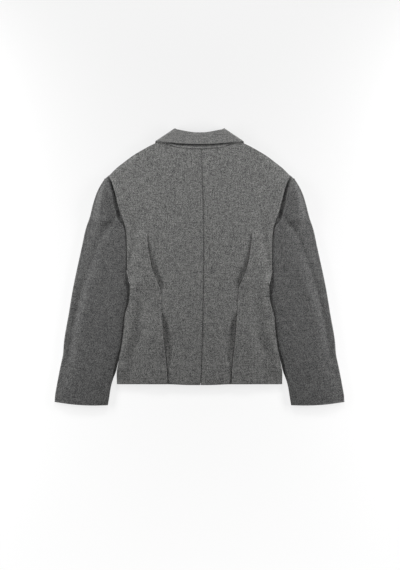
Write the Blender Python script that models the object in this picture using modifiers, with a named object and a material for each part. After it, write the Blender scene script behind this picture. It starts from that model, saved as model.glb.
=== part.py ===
"""A peplum jacket of grey wool, laid out flat on its front with its back up.

Metres, +Z up. +Y points to the collar and +X to the wearer's right. The jacket rests on z = 0.
Each piece is one sheet: a grid of points on the middle of the cloth, given its wall by Solidify.
"""
import math

import bpy
import numpy as np

# The cloth and its seams
CLOTH = 0.0028            # wall of the wool with its interlining and lining
HALF = CLOTH / 2
SEAM_GAP = 0.0003         # between pieces edge to edge
LAYER_GAP = 0.0004        # between pieces that lie on each other
LAP_STEP = CLOTH + SEAM_GAP
LOFT = 0.0028             # air that the wool keeps between back and front

# Body
NECK_TO_WAIST_ROW = 0.1643    # above this height the rows lean to the neck and shoulder
TIP_Y = 0.2412                # where shoulder, armhole and sleeve head meet
ARMPIT_Y = -0.0106
HEM_Y = -0.3100
FRONT_HEM_Y = -0.3070
CLOSURE_HALF = 0.0250         # each front reaches this far past the middle
V_FOOT_Y = 0.1643             # foot of the neck opening
CENTRE_CROWN = 0.0013         # the middle of the back lies higher, over the closure
CROWN_X = (0.090, 0.035)      # spans named like this rise from nothing at the first value
CROWN_Y = (0.300, 0.230)      # to all of it at the second
LAP_X = (0.062, 0.038)        # the left front rises on to the right one
SHOULDER_ROLL = 0.0140        # the loft closes towards the shoulder over this width
SHOULDER_FROM_X = 0.0880
SIDE_CLOSING_Y = (0.030, -0.020)   # below the armhole the loft closes towards the side seam
SIDE_CLOSING_WIDTH = 0.0140
LOFT_LOST_TO_SLEEVE = 0.6     # share of the loft that goes where the sleeve lifts the edge
ARMHOLE_RIDGE = 0.0019        # seam allowances pressed under the body's edge
RIDGE_WIDTH = 0.0085
RIDGE_SLOPE = 0.0340          # the ridge begins this far from the edge
RIDGE_FOOT_Y = (0.110, 0.150)
RIDGE_TOP_Y = (0.239, 0.222)
ARMHOLE_CURL = 0.0028         # the edge turns down to the sleeve
CURL_X = (0.0065, -0.0010)
CURL_FOOT_Y = (-0.010, 0.020)
CURL_TOP_Y = (0.236, 0.222)

# Pleats
PLEAT_TURN = 3                # steps in each half turn of a fold
PLEAT_TIP_Y = 0.1050          # the fold starts to rise here
PLEAT_OPEN_Y = 0.0480         # from here down the cloth is folded fully
PLEAT_SETTLE = 0.0400         # beyond the fold below, the upper layer sinks over this width
STITCHED_TOP_Y = -0.0610      # the fold is stitched down from here
STITCHED_FOOT_Y = -0.1034     # to here
VALLEY = 0.0240               # the centre panel sinks to an open fold over this width
STITCHED_VALLEY = 0.0045      # and to the stitched one over this
VALLEY_SHARES = np.array((0.45, 0.78, 1.0))
WAIST_RISE = 0.0012           # the centre panel is pulled up to the stitched fold
FLOOR_GAP = 0.0002            # air under the lower layer at the fold
NECK_AT = np.array((0.0300, 0.0580, 0.0847, 0.0928))   # columns of the back where they reach the neck
STAND_COLUMNS = 3             # this many of them carry the stand

# Puckers gathered into the side seam at the waist
PUCKER_TOP_Y = -0.0400
PUCKER_PITCH = 0.0100
PUCKER_COUNT = 5
PUCKER_HEIGHT = 0.0014
PUCKER_REACH = 0.0260

# Sleeves
SLEEVE_LOOP = CLOTH + 0.0006  # between the middles of its two layers at a fold
SLEEVE_CROWN = 0.0032
HEAD_TROUGH = 0.0100          # the sleeve head lies low beside the armhole for this width
UNDER_BODY = 0.0120           # this much of the sleeve stays thin, under the body's edge
SIDE_LIFT = SLEEVE_LOOP + CLOTH + 0.00035   # the body's edge lies on the sleeve
SIDE_LIFT_TOP_Y = (-0.0136, -0.044)
SIDE_LIFT_FOOT_Y = (-0.304, -0.262)
SIDE_LIFT_X = (0.046, 0.016)
CUFF_SAG = 0.0039             # the cuff's edge bows down between its folds

# Collar
COLLAR_RISE = LAP_STEP + 0.0004    # the collar's ends under the fronts lift them by this
COLLAR_RISE_X = (0.182, 0.150)
COLLAR_RISE_Y = (0.222, 0.250)
ROLL_DROP = 0.0012                 # the fall bends down over the stand at the roll line
STAND_INSET = 0.0080
STAND_HALF = 0.0580
BACK_NECK_Z = CLOTH + COLLAR_RISE + LAYER_GAP + HALF
FALL_Z = BACK_NECK_Z + CLOTH + 0.00035

WOOL = (0.117, 0.117, 0.117, 1.0)


def table(columns, *rows):
    """A short table: an array for each named column."""
    return {name: np.array(values) for name, values in zip(columns.split(), zip(*rows))}


# Half widths of the body; the wearer's left and right are mirror images
SIDE_EDGE = table("y x", (-0.3100, 0.2186), (-0.2760, 0.2186), (-0.2518, 0.2144), (-0.2112, 0.2064),
                  (-0.1707, 0.2009), (-0.1275, 0.1969), (-0.0896, 0.1866), (-0.0650, 0.1845),
                  (-0.0450, 0.1850), (-0.0280, 0.1886), (-0.0106, 0.1921))
ARMHOLE = table("y x", (-0.0106, 0.1921), (0.0450, 0.1921), (0.1023, 0.1956), (0.1643, 0.2160),
                (0.2412, 0.2398))
NECK_AND_SHOULDER = table("x y", (-0.0200, 0.3130), (0.0000, 0.3127), (0.0400, 0.3150), (0.0700, 0.3205),
                          (0.0840, 0.3270), (0.0920, 0.3350), (0.1080, 0.3305), (0.1259, 0.3230),
                          (0.1524, 0.3087), (0.1789, 0.2928), (0.2001, 0.2769), (0.2213, 0.2600),
                          (0.2398, 0.2412))
CENTRE_SEAM = table("y x", (-0.3100, 0.0029), (-0.1250, 0.0085), (0.0820, 0.0101), (0.3130, 0.0029))
NECK_OPENING = table("y x", (0.1643, -0.0250), (0.2300, 0.0130), (0.3000, 0.0560), (0.3350, 0.0920))

# Rows that back, front and sleeve share along the armhole, so that their edges match
ARMHOLE_LEVELS = (0.020, 0.046, 0.070, 0.084, 0.104, 0.124, 0.144, NECK_TO_WAIST_ROW)

# The visible fold edge of each pleat, and how far the cloth is folded under it
PLEAT = table("y x depth", (-0.3100, 0.0845, 0.024), (-0.2465, 0.0888, 0.023), (-0.1800, 0.0965, 0.021),
              (-0.1350, 0.0985, 0.019), (-0.1034, 0.0999, 0.018), (-0.0610, 0.1034, 0.017),
              (-0.0278, 0.1166, 0.014), (0.0040, 0.1277, 0.011), (0.0318, 0.1325, 0.008),
              (0.0564, 0.1359, 0.004), (0.0835, 0.1418, 0.001), (0.1643, 0.1520, 0.001))

# Outer fold of a sleeve, and its inner fold as far as the armpit
SLEEVE_OUTER = table("y x", (-0.3572, 0.3837), (-0.3432, 0.3829), (-0.3114, 0.3776), (-0.2637, 0.3684),
                     (-0.2319, 0.3617), (-0.2001, 0.3591), (-0.1206, 0.3458), (-0.0570, 0.3352),
                     (0.0066, 0.3220), (0.0543, 0.3114), (0.1020, 0.3008), (0.1338, 0.2902),
                     (0.1656, 0.2822), (0.1974, 0.2716), (0.2133, 0.2637), (0.2292, 0.2531),
                     (0.2370, 0.2460))
SLEEVE_INNER = table("y x", (-0.3657, 0.2425), (-0.3420, 0.2385), (-0.3114, 0.2332), (-0.2940, 0.2279),
                     (-0.2770, 0.2213), (-0.2518, 0.2152), (-0.2112, 0.2035), (-0.1707, 0.1955),
                     (-0.1275, 0.1880), (-0.0900, 0.1805), (-0.0600, 0.1808), (-0.0450, 0.1855),
                     (-0.0280, 0.1890), (-0.0106, 0.1925))
# A row of the sleeve starts at y on the inner side and ends this much higher on the outer one
SLEEVE_TILT = table("y tilt", (-0.3657, 0.0085), (-0.2500, 0.0200), (-0.0106, 0.0150), (0.1300, 0.0050),
                    (0.2412, -0.0042))

# The collar fall before it is folded, from the middle of the back outwards
COLLAR_LINES = table("roll_x roll_y free_x free_y", (0.0000, 0.3556, 0.0000, 0.3246),
                     (0.0160, 0.3563, 0.0260, 0.3252), (0.0320, 0.3586, 0.0520, 0.3266),
                     (0.0460, 0.3614, 0.0780, 0.3290))
ROLL_END = np.array((0.0660, 0.3670))
CORNER = np.array((0.1155, 0.3340))
ROLL_ONWARD = np.array((0.889, 0.458))
FREE_ONWARD = np.array((0.938, 0.347))
COLLAR_UNDER = 0.0560         # how far the collar runs on below, along the neck opening

# Soft folds of the cloth: end points, half width and height, all on the wearer's right
BODY_FOLDS = table("x0 y0 x1 y1 width height", (0.1895, 0.0080, 0.1680, 0.0715, 0.012, -0.0012),
                   (0.1680, 0.0715, 0.1630, 0.1350, 0.012, -0.0010),
                   (0.1800, 0.0500, 0.1840, 0.1200, 0.008, 0.0008),
                   (0.1480, 0.0550, 0.1600, 0.0050, 0.012, 0.0010),
                   (0.1470, -0.1670, 0.1895, -0.2460, 0.016, -0.0014),
                   (0.0146, -0.1830, 0.0300, -0.2460, 0.010, -0.0007),
                   (0.0676, -0.1830, 0.0780, -0.2460, 0.010, -0.0011),
                   (0.0470, 0.2400, 0.0470, 0.1770, 0.018, -0.0006))
SLEEVE_FOLDS = table("x0 y0 x1 y1 width height", (0.2160, 0.1350, 0.2530, 0.0930, 0.010, -0.0010),
                     (0.2530, 0.0930, 0.2800, 0.0290, 0.011, -0.0013),
                     (0.2800, 0.0290, 0.3110, -0.0610, 0.011, -0.0014),
                     (0.3110, -0.0610, 0.3350, -0.1617, 0.012, -0.0014),
                     (0.3350, -0.1617, 0.3460, -0.2360, 0.012, -0.0011),
                     (0.2430, 0.2340, 0.2300, 0.1930, 0.005, 0.0012),
                     (0.2620, 0.0000, 0.2950, -0.1100, 0.014, 0.0007))


def smooth_curve(rows, along, value, at):
    """Values at given places on a smooth curve through a table's rows, which rise along the first column."""
    place, height = rows[along], rows[value]
    slope = np.gradient(height, place)
    at = np.clip(at, place[0], place[-1])
    low = np.clip(np.searchsorted(place, at, side="right") - 1, 0, len(place) - 2)
    step = place[low + 1] - place[low]
    t = (at - place[low]) / step
    return ((2 * t**3 - 3 * t**2 + 1) * height[low] + (t**3 - 2 * t**2 + t) * step * slope[low]
            + (3 * t**2 - 2 * t**3) * height[low + 1] + (t**3 - t**2) * step * slope[low + 1])


def ramp(value, start, end):
    """Rises softly from 0 at start to 1 at end."""
    t = np.clip((value - start) / (end - start), 0.0, 1.0)
    return t * t * (3 - 2 * t)


def folds(rows, x, y):
    """Height of a table's soft folds at (x, y)."""
    total = np.zeros_like(x)
    for x0, y0, x1, y1, width, height in zip(*(rows[name] for name in ("x0", "y0", "x1", "y1", "width",
                                                                       "height"))):
        run = np.array((x1 - x0, y1 - y0))
        along = np.clip(((x - x0) * run[0] + (y - y0) * run[1]) / run.dot(run), 0.0, 1.0)
        distance = np.hypot(x - x0 - along * run[0], y - y0 - along * run[1])
        total = total + height * np.exp(-(distance / width) ** 2)
    return total


def body_edge(y):
    """Half width of the body: the side seam, then the armhole, straight from its last bend to the tip."""
    curved = np.where(y < ARMPIT_Y, smooth_curve(SIDE_EDGE, "y", "x", y), smooth_curve(ARMHOLE, "y", "x", y))
    return np.where(y > ARMHOLE["y"][-2], np.interp(y, ARMHOLE["y"], ARMHOLE["x"]), curved)


def side_lift(x, y):
    """How far the sleeve lifts the body's edge that lies on it."""
    inward = body_edge(y) - x
    return SIDE_LIFT * ramp(y, *SIDE_LIFT_TOP_Y) * ramp(y, *SIDE_LIFT_FOOT_Y) * ramp(inward, *SIDE_LIFT_X)


def collar_lift(x, y):
    """How far the collar's ends lift the fronts and the back over them."""
    return COLLAR_RISE * ramp(y, *COLLAR_RISE_Y) * ramp(x, *COLLAR_RISE_X)


def front_level(x, y, on_top):
    """Middle of a front's wall; the left front lies on the right one along the closure."""
    lap = LAP_STEP * ramp(x, *LAP_X) * ramp(y, *COLLAR_RISE_Y[::-1]) if on_top else 0.0
    return HALF + lap + side_lift(x, y) + collar_lift(x, y)


def back_level(x, y):
    """Middle of the back's wall, before pleats and the armhole's ridge."""
    lift = side_lift(x, y)
    closing = 1 - ramp(y, *SIDE_CLOSING_Y) * (1 - ramp(body_edge(y) - x, 0.0, SIDE_CLOSING_WIDTH))
    to_shoulder = smooth_curve(NECK_AND_SHOULDER, "x", "y", x) - y
    closing = closing * np.where(x > SHOULDER_FROM_X, ramp(to_shoulder, 0.0, SHOULDER_ROLL), 1.0)
    over_collar = collar_lift(x, y)
    closing = closing * (1 - over_collar / COLLAR_RISE) * (1 - LOFT_LOST_TO_SLEEVE * lift / SIDE_LIFT)
    crown = CENTRE_CROWN * ramp(np.abs(x), *CROWN_X) * ramp(y, *CROWN_Y)
    return CLOTH + LAYER_GAP + HALF + LOFT * closing + crown + lift + over_collar


def armhole_relief(x, y):
    """The pressed seam along the armhole: a ridge on the body whose edge turns down to the sleeve."""
    inward = body_edge(y) - x
    strength = ramp(y, *RIDGE_FOOT_Y) * ramp(y, *RIDGE_TOP_Y)
    ridge = ARMHOLE_RIDGE * strength * ramp(inward, RIDGE_SLOPE, RIDGE_WIDTH)
    curl = ARMHOLE_CURL * (0.5 + 0.5 * strength) * ramp(inward, *CURL_X)
    return ridge - curl * ramp(y, *CURL_FOOT_Y) * ramp(y, *CURL_TOP_Y)


def puckers(x, y):
    """Small waves gathered into the side seam at the waist."""
    rows_down = (PUCKER_TOP_Y - y) / PUCKER_PITCH
    inside = ramp(rows_down, -0.5, 0.5) * ramp(rows_down, PUCKER_COUNT + 0.5, PUCKER_COUNT - 0.5)
    wave = 0.5 - 0.5 * np.cos(2 * math.pi * rows_down)
    return PUCKER_HEIGHT * wave * inside * ramp(body_edge(y) - x, PUCKER_REACH, 0.0)


def new_material(name):
    """Matt grey wool."""
    material = bpy.data.materials.new(name)
    material.use_nodes = True
    shader = material.node_tree.nodes["Principled BSDF"]
    shader.inputs["Base Color"].default_value = WOOL
    shader.inputs["Roughness"].default_value = 0.95
    shader.inputs["Metallic"].default_value = 0.0
    material.diffuse_color = WOOL
    return material


def cloth_piece(name, grid, tube_rows=0, turn_points=0):
    """A sheet through a grid of points, with its wall.

    grid holds (rows, columns, 3) points. The first tube_rows rows are closed rings. Above
    them the last turn_points columns, which lie in the ring's second fold, are left out.
    """
    count, width = grid.shape[:2]
    faces = []
    for row in range(count - 1):
        is_tube = row + 1 < tube_rows
        for column in range(width if is_tube else width - 1 - turn_points):
            following = (column + 1) % width
            faces.append((row * width + column, row * width + following,
                          (row + 1) * width + following, (row + 1) * width + column))
    used = sorted({corner for face in faces for corner in face})
    number = {old: new for new, old in enumerate(used)}
    mesh = bpy.data.meshes.new(name)
    mesh.from_pydata(grid.reshape(-1, 3)[used].tolist(), [],
                     [tuple(number[corner] for corner in face) for face in faces])
    mesh.update()
    mesh.shade_smooth()
    mesh.materials.append(new_material("wool_" + name))
    piece = bpy.data.objects.new(name, mesh)
    bpy.data.collections["peplum_jacket"].objects.link(piece)
    wall = piece.modifiers.new("wall", "SOLIDIFY")
    wall.thickness = CLOTH
    wall.offset = 0.0
    return piece


def stacked(x, y, z, side):
    """A grid of points from its three coordinates, mirrored for the wearer's left."""
    return np.stack((side * x, y, z), axis=-1)


def leaning_rows(x, y_start, top_y, top_scale, shares):
    """Rows that lean from a level row to the neck and shoulder line: x and y grids."""
    top_x = x * top_scale
    top = top_y(top_x)
    across = np.array([x + share * (top_x - x) for share in shares])
    up = np.array([y_start + share * (top - y_start) for share in shares])
    return across, up


def pleat_section(angle, depth):
    """Middle line of a pleat from the lower layer to the upper one: x and z of its points."""
    turns = [angle * (step + 0.5) / PLEAT_TURN for step in range(PLEAT_TURN)]
    chord = LAP_STEP / sum(math.sin(math.pi * (step + 0.5) / PLEAT_TURN) for step in range(PLEAT_TURN))
    headings = np.array(turns + [angle] + turns[::-1])
    lengths = np.array([chord] * PLEAT_TURN + [depth] + [chord] * PLEAT_TURN)
    across = np.concatenate(([0.0], np.cumsum(lengths * np.cos(headings))))
    up = np.concatenate(([0.0], np.cumsum(lengths * np.sin(headings))))
    height = 2 * LAP_STEP * float(ramp(angle, 0.0, math.pi / 2))
    return across, up * height / max(up[-1], LAP_STEP / 100)


def centre_shares(side):
    """Where the centre panel's columns lie between the centre seam and the pleat's valley."""
    seam_x = side * float(smooth_curve(CENTRE_SEAM, "y", "x", NECK_TO_WAIST_ROW))
    valley_x = float(PLEAT["x"][-1]) - VALLEY - LAP_STEP
    neck = (NECK_AT * ARMHOLE["x"][-2] / ARMHOLE["x"][-1] - seam_x) / (valley_x - seam_x)
    return np.concatenate(([0.0], neck, [(neck[-1] + 1) / 2, 1.0]))


def back_row(y, side):
    """One level row of a back half: x and z from the centre seam to the side."""
    edge = float(body_edge(y))
    fold_x = float(smooth_curve(PLEAT, "y", "x", y))
    depth = float(smooth_curve(PLEAT, "y", "depth", y))
    folded = float(ramp(y, PLEAT_TIP_Y, PLEAT_OPEN_Y))
    across, up = pleat_section(math.pi * folded, depth)
    upper_x = fold_x + HALF + LAP_STEP / 2
    lower_x = upper_x - across[-1]
    seam_x = side * float(smooth_curve(CENTRE_SEAM, "y", "x", y)) + SEAM_GAP / 2
    meet_x = min(fold_x, lower_x) - 0.0005
    free = float(max(ramp(y, STITCHED_TOP_Y - 0.002, STITCHED_TOP_Y + 0.022),
                     ramp(y, STITCHED_FOOT_Y + 0.002, STITCHED_FOOT_Y - 0.024)))
    valley = STITCHED_VALLEY + (VALLEY - STITCHED_VALLEY) * free
    centre = np.concatenate((seam_x + (meet_x - valley - seam_x) * centre_shares(side),
                             meet_x - valley + valley * VALLEY_SHARES))
    centre_z = back_level(centre, y) + WAIST_RISE * (1 - free) * folded * ramp(
        centre, meet_x - valley - 0.030, meet_x - valley)
    fold_z = centre_z[-1] + (CLOTH + LAYER_GAP + HALF + FLOOR_GAP - centre_z[-1]) * folded
    dip = np.clip((centre - meet_x + valley) / valley, 0.0, 1.0) ** 2
    centre_z = centre_z + (fold_z - centre_z[-1]) * dip
    rest_x = max(lower_x, upper_x) + CLOTH + 0.003
    outer = np.concatenate(([upper_x + (rest_x - upper_x) / 2], np.linspace(rest_x, edge - 0.034, 4),
                            (edge - 0.020, edge - RIDGE_WIDTH, edge - 0.0045, edge)))
    settle = ramp(outer, rest_x, rest_x + PLEAT_SETTLE)
    outer_z = (fold_z + up[-1]) * (1 - settle) + back_level(outer, y) * settle + puckers(outer, y)
    x = np.concatenate((centre, lower_x + across, outer))
    z = np.concatenate((centre_z, fold_z + up, outer_z))
    return x, z


def upper_back(side):
    """Rows of a back half from the shoulder blade up to the neck and shoulder: x and y."""
    start_x, _ = back_row(NECK_TO_WAIST_ROW, side)
    scale = float(ARMHOLE["x"][-1] / start_x[-1])
    x, y = leaning_rows(start_x, NECK_TO_WAIST_ROW,
                        lambda at: smooth_curve(NECK_AND_SHOULDER, "x", "y", at), scale,
                        (0.0, 0.16, 0.34, 0.52, 0.70, 0.86, 0.95, 1.0))
    x[:, 0] = side * smooth_curve(CENTRE_SEAM, "y", "x", y[:, 0]) + SEAM_GAP / 2
    return x, y


def back_half(name, side):
    """Left or right back, from the centre seam to the side seam and armhole."""
    levels = np.concatenate((
        (HEM_Y, -0.298, -0.280, -0.262, -0.243, -0.224, -0.204, -0.184, -0.164, -0.146, -0.130, -0.114,
         -0.100),
        PUCKER_TOP_Y - PUCKER_PITCH * np.arange(PUCKER_COUNT, -0.1, -0.5),
        (-0.026, ARMPIT_Y, 0.006, 0.034, 0.056, 0.063, 0.077), ARMHOLE_LEVELS[:-1]))
    levels.sort()
    rows = [back_row(y, side) for y in levels]
    x = np.array([row[0] for row in rows])
    y = np.repeat(levels[:, None], x.shape[1], axis=1)
    z = np.array([row[1] for row in rows])
    lean_x, lean_y = upper_back(side)
    lean_z = back_level(lean_x, lean_y)
    x, y, z = np.vstack((x, lean_x)), np.vstack((y, lean_y)), np.vstack((z, lean_z))
    lowest = CLOTH + HALF + LAYER_GAP
    z = z + folds(BODY_FOLDS, x, y) * ramp(z - side_lift(x, y), lowest, lowest + LOFT) + armhole_relief(x, y)
    y = y - 0.0022 * ramp(y, -0.262, HEM_Y) * ramp(x, 0.090, 0.020)
    return cloth_piece(name, stacked(x, y, z, side))


def front(name, side):
    """Left or right front: closure edge, neck opening, shoulder, armhole and side seam."""
    on_top = side < 0
    levels = np.array((FRONT_HEM_Y, -0.298, -0.280, -0.262, -0.243, -0.204, -0.164, -0.130, -0.090, -0.070,
                       -0.050, -0.040, -0.030, -0.020, ARMPIT_Y) + ARMHOLE_LEVELS[:-1])
    edge = body_edge(levels)
    inner = np.array((-CLOSURE_HALF, -0.004, 0.016, 0.036, 0.060, 0.086))
    across = np.array([np.concatenate((inner, np.linspace(inner[-1], far - 0.046, 4)[1:],
                                       (far - 0.034, far - 0.020, far - RIDGE_WIDTH, far))) for far in edge])
    up = np.repeat(levels[:, None], across.shape[1], axis=1)
    shares = np.array((0.0, 0.15, 0.30, 0.45, 0.55, 0.65, 0.80, 1.0))
    neck_y = V_FOOT_Y + shares * (NECK_OPENING["y"][-1] - V_FOOT_Y)
    neck_x = smooth_curve(NECK_OPENING, "y", "x", neck_y)
    arm_y = V_FOOT_Y + shares * (TIP_Y - V_FOOT_Y)
    arm_x = body_edge(arm_y)
    columns = across[-1]
    spread = (columns - columns[0]) / (columns[-1] - columns[0])
    lean_x = neck_x[:, None] + spread[None, :] * (arm_x - neck_x)[:, None]
    shoulder_y = smooth_curve(NECK_AND_SHOULDER, "x", "y", lean_x[-1])
    straight = neck_y[:, None] + spread[None, :] * (arm_y - neck_y)[:, None]
    lean_y = straight + shares[:, None] * (shoulder_y - straight[-1])[None, :]
    x, y = np.vstack((across, lean_x)), np.vstack((up, lean_y))
    return cloth_piece(name, stacked(x, y, front_level(x, y, on_top), side))


def half_turn(radius):
    """Points between the ends of a half turn: distance outwards and drop from the top."""
    angles = math.pi * np.arange(1, PLEAT_TURN) / PLEAT_TURN
    return radius * np.sin(angles), radius * (1 - np.cos(angles))


def sleeve(name, side):
    """A flattened tube, open at the cuff and, above the armpit, along the armhole."""
    closed_y = (-0.3657, -0.350, -0.326, -0.300, -0.272, -0.244, -0.216, -0.188, -0.160, -0.133,
                -0.108, -0.084, -0.064, -0.045, -0.028, ARMPIT_Y)
    open_y = (ARMPIT_Y + 0.002,) + ARMHOLE_LEVELS + (0.185, 0.206, 0.225, TIP_Y)
    radius = SLEEVE_LOOP / 2
    inset = radius + HALF
    out, drop = half_turn(radius)
    shares = np.array((0.0, 0.06, 0.15, 0.27, 0.40, 0.55, 0.70, 0.84, 0.94, 1.0))
    rows = []
    for y in closed_y + open_y:
        is_tube = y <= ARMPIT_Y
        start_x = float(smooth_curve(SLEEVE_INNER, "y", "x", y) if is_tube
                        else body_edge(np.array(y)) + SEAM_GAP)
        end_y = y + float(smooth_curve(SLEEVE_TILT, "y", "tilt", y))
        end_x = float(smooth_curve(SLEEVE_OUTER, "y", "x", end_y))
        width = end_x - start_x
        first = inset if is_tube else 0.0
        last = width - inset
        top = first + (last - first) * shares
        bottom = first + (last - first) * shares[::-3]
        thin = UNDER_BODY * float(ramp(y, 0.040, -0.030))
        low = thin + HEAD_TROUGH * float(ramp(y, 0.090, 0.150))
        rise = ramp(top, low, low + 0.040) * ramp(width - top, inset, 0.048)
        top_x = start_x + top
        top_y = y + (end_y - y) * top / width
        crease = folds(SLEEVE_FOLDS, top_x, top_y) * ramp(top, thin, thin + 0.020) * ramp(width - top, inset,
                                                                                         0.020)
        top_z = HALF + SLEEVE_LOOP + SLEEVE_CROWN * rise + crease
        distance = np.concatenate((top, last + out, bottom, first - out[::-1]))
        height = np.concatenate((top_z, HALF + SLEEVE_LOOP - drop, np.full_like(bottom, HALF),
                                 HALF + drop))
        if not is_tube:
            distance[-len(out):] = first
        x = start_x + distance
        sag = CUFF_SAG * ramp(y, -0.330, -0.3657) * np.sin(math.pi * np.clip(distance / width, 0, 1))
        rows.append((x, y + (end_y - y) * distance / width - sag, height))
    grid = np.array([stacked(x, y, z, side) for x, y, z in rows])
    return cloth_piece(name, grid, len(closed_y), len(out))


def collar_stand():
    """The band from the back neck seam up to the roll line, on the back's own points."""
    left_x, left_y = (grid[-1, STAND_COLUMNS:0:-1] for grid in upper_back(-1))
    right_x, right_y = (grid[-1, 1:STAND_COLUMNS + 1] for grid in upper_back(1))
    seam_x = float(CENTRE_SEAM["x"][-1])
    low_x = np.concatenate((-left_x, (seam_x,), right_x))
    low_y = np.concatenate((left_y, (float(smooth_curve(NECK_AND_SHOULDER, "x", "y", seam_x)),), right_y))
    low_y = low_y + SEAM_GAP
    high_x = STAND_HALF * np.linspace(-1.0, 1.0, len(low_x))
    high_y = smooth_curve(COLLAR_LINES, "roll_x", "roll_y", np.abs(high_x)) - STAND_INSET
    shares = np.linspace(0.0, 1.0, 4)[:, None]
    x = low_x + shares * (high_x - low_x)
    y = low_y + shares * (high_y - low_y)
    return cloth_piece("collar_stand", np.stack((x, y, np.full_like(x, BACK_NECK_Z)), axis=-1))


def collar_fall():
    """The turned-down collar, folded at each side of the neck to run on below the fronts."""
    along = (CORNER - ROLL_END) / np.linalg.norm(CORNER - ROLL_END)
    outward = np.array((-along[1], along[0]))
    radius = (FALL_Z - HALF) / 2
    axis = -(radius + HALF)
    arc = math.pi * radius
    places = np.concatenate((axis + arc * np.linspace(0.0, 1.0, 7), axis + arc + COLLAR_UNDER * np.array((
        0.25, 0.6, 1.0))))
    roll = [np.array(point) for point in zip(COLLAR_LINES["roll_x"], COLLAR_LINES["roll_y"])]
    free = [np.array(point) for point in zip(COLLAR_LINES["free_x"], COLLAR_LINES["free_y"])]
    roll += [ROLL_END + place * ROLL_ONWARD / ROLL_ONWARD.dot(outward) for place in places]
    free += [CORNER + place * FREE_ONWARD / FREE_ONWARD.dot(outward) for place in places]
    shares = np.array((0.0, 0.35, 0.68, 0.90, 1.0))
    half = []
    for roll_point, free_point in zip(roll, free):
        line = []
        for share in shares:
            flat = free_point + share * (roll_point - free_point)
            place = (flat - ROLL_END).dot(outward)
            turn = min(max((place - axis) / radius, 0.0), math.pi)
            beyond = max(place - axis - arc, 0.0)
            moved = min(place, axis) + radius * math.sin(turn) - beyond
            plan = flat + (moved - place) * outward
            bend = ROLL_DROP * float(ramp(share, 0.80, 1.0)) * float(ramp(place, axis, axis - 0.020))
            line.append((plan[0], plan[1], FALL_Z - radius * (1 - math.cos(turn)) - bend))
        half.append(line)
    half = np.array(half)
    mirrored = half[:0:-1] * np.array((-1.0, 1.0, 1.0))
    return cloth_piece("collar_fall", np.concatenate((mirrored, half)))


def main():
    """Builds every piece of the jacket."""
    for old in list(bpy.data.objects):
        bpy.data.objects.remove(old, do_unlink=True)
    jacket = bpy.data.collections.new("peplum_jacket")
    bpy.context.scene.collection.children.link(jacket)
    for name, side in (("left", -1), ("right", 1)):
        back_half("back_" + name, side)
        front("front_" + name, side)
        sleeve("sleeve_" + name, side)
    collar_stand()
    collar_fall()


main()
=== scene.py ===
"""The looks of a peplum jacket of grey wool flannel, laid out flat on its front with its back up.

Metres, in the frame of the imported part: +Z up, +Y to the collar, +X to the wearer's right sleeve.
Each cloth piece is one sheet through a fine grid of points on the middle of the cloth. It stands
for the solid of the same name and carries the finer folds, seams and stitches of the real jacket.
"""

import logging
import math
from dataclasses import dataclass, field
from enum import Enum

import bpy
import numpy as np
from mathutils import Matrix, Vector
from mathutils.bvhtree import BVHTree


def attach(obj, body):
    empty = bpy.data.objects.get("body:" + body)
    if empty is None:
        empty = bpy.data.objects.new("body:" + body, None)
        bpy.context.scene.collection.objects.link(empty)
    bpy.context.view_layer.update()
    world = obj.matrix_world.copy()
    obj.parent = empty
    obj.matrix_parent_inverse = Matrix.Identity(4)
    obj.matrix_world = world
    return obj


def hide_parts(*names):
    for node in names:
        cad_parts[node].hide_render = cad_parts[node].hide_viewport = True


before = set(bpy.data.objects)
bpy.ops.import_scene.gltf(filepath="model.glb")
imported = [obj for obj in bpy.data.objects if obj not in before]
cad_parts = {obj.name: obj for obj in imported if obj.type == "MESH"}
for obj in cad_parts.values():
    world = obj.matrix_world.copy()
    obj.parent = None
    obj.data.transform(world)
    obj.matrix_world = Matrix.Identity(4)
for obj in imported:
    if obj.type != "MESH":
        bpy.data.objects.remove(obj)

LOG = logging.getLogger("peplum_jacket")
MM = 0.001
Table = dict[str, np.ndarray]
Places = float | np.ndarray
Pair = tuple[float, float]
Steps = tuple[float, ...] | np.ndarray
WAVE_LENGTHS = np.linspace(0.045, 0.150, 9)
CREASE_COLUMNS = "x0 y0 x1 y1 width height"
FIRST_STITCH_SEED = 7


class Side(Enum):
    """One of the wearer's sides; the value mirrors x, which is worked out for the right."""

    LEFT = -1
    RIGHT = 1

    @property
    def label(self) -> str:
        """The side's name in a piece's name."""
        return self.name.lower()

    @property
    def cut_from(self) -> tuple[float, float]:
        """Where on the bolt its pieces are cut, so that left and right have their own grain."""
        return (0.0, 0.0) if self is Side.RIGHT else (0.713, 1.037)

    @property
    def number(self) -> int:
        """Tells the random draws of left and right apart."""
        return int(self is Side.RIGHT)


class Held(Enum):
    """How a sheet of cloth is held."""

    LAID = "laid"
    FOLDED = "folded"


def mm(*sizes: float) -> np.ndarray:
    """Turns millimetres to metres."""
    return np.array(sizes) * MM


def table(columns: str, *rows: tuple[float, ...]) -> Table:
    """A short table of numbers.

    Args:
        columns: the columns' names, with spaces between them.
        rows: the rows' numbers.

    Returns:
        An array for each named column.
    """
    return {name: np.array(values) for name, values in zip(columns.split(), zip(*rows))}


def smooth_curve(rows: Table, along: str, value: str, at: Places) -> np.ndarray:
    """Values on a smooth curve through a table's rows.

    Args:
        rows: a table whose first named column rises.
        along: the column that rises.
        value: the column to read.
        at: places along the curve, held within the table's ends.

    Returns:
        The value at each place.
    """
    place, height = rows[along], rows[value]
    slope = np.gradient(height, place)
    at = np.clip(at, place[0], place[-1])
    low = np.clip(np.searchsorted(place, at, side="right") - 1, 0, len(place) - 2)
    step = place[low + 1] - place[low]
    t = (at - place[low]) / step
    return ((2 * t**3 - 3 * t**2 + 1) * height[low] + (t**3 - 2 * t**2 + t) * step * slope[low]
            + (3 * t**2 - 2 * t**3) * height[low + 1] + (t**3 - t**2) * step * slope[low + 1])


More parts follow.
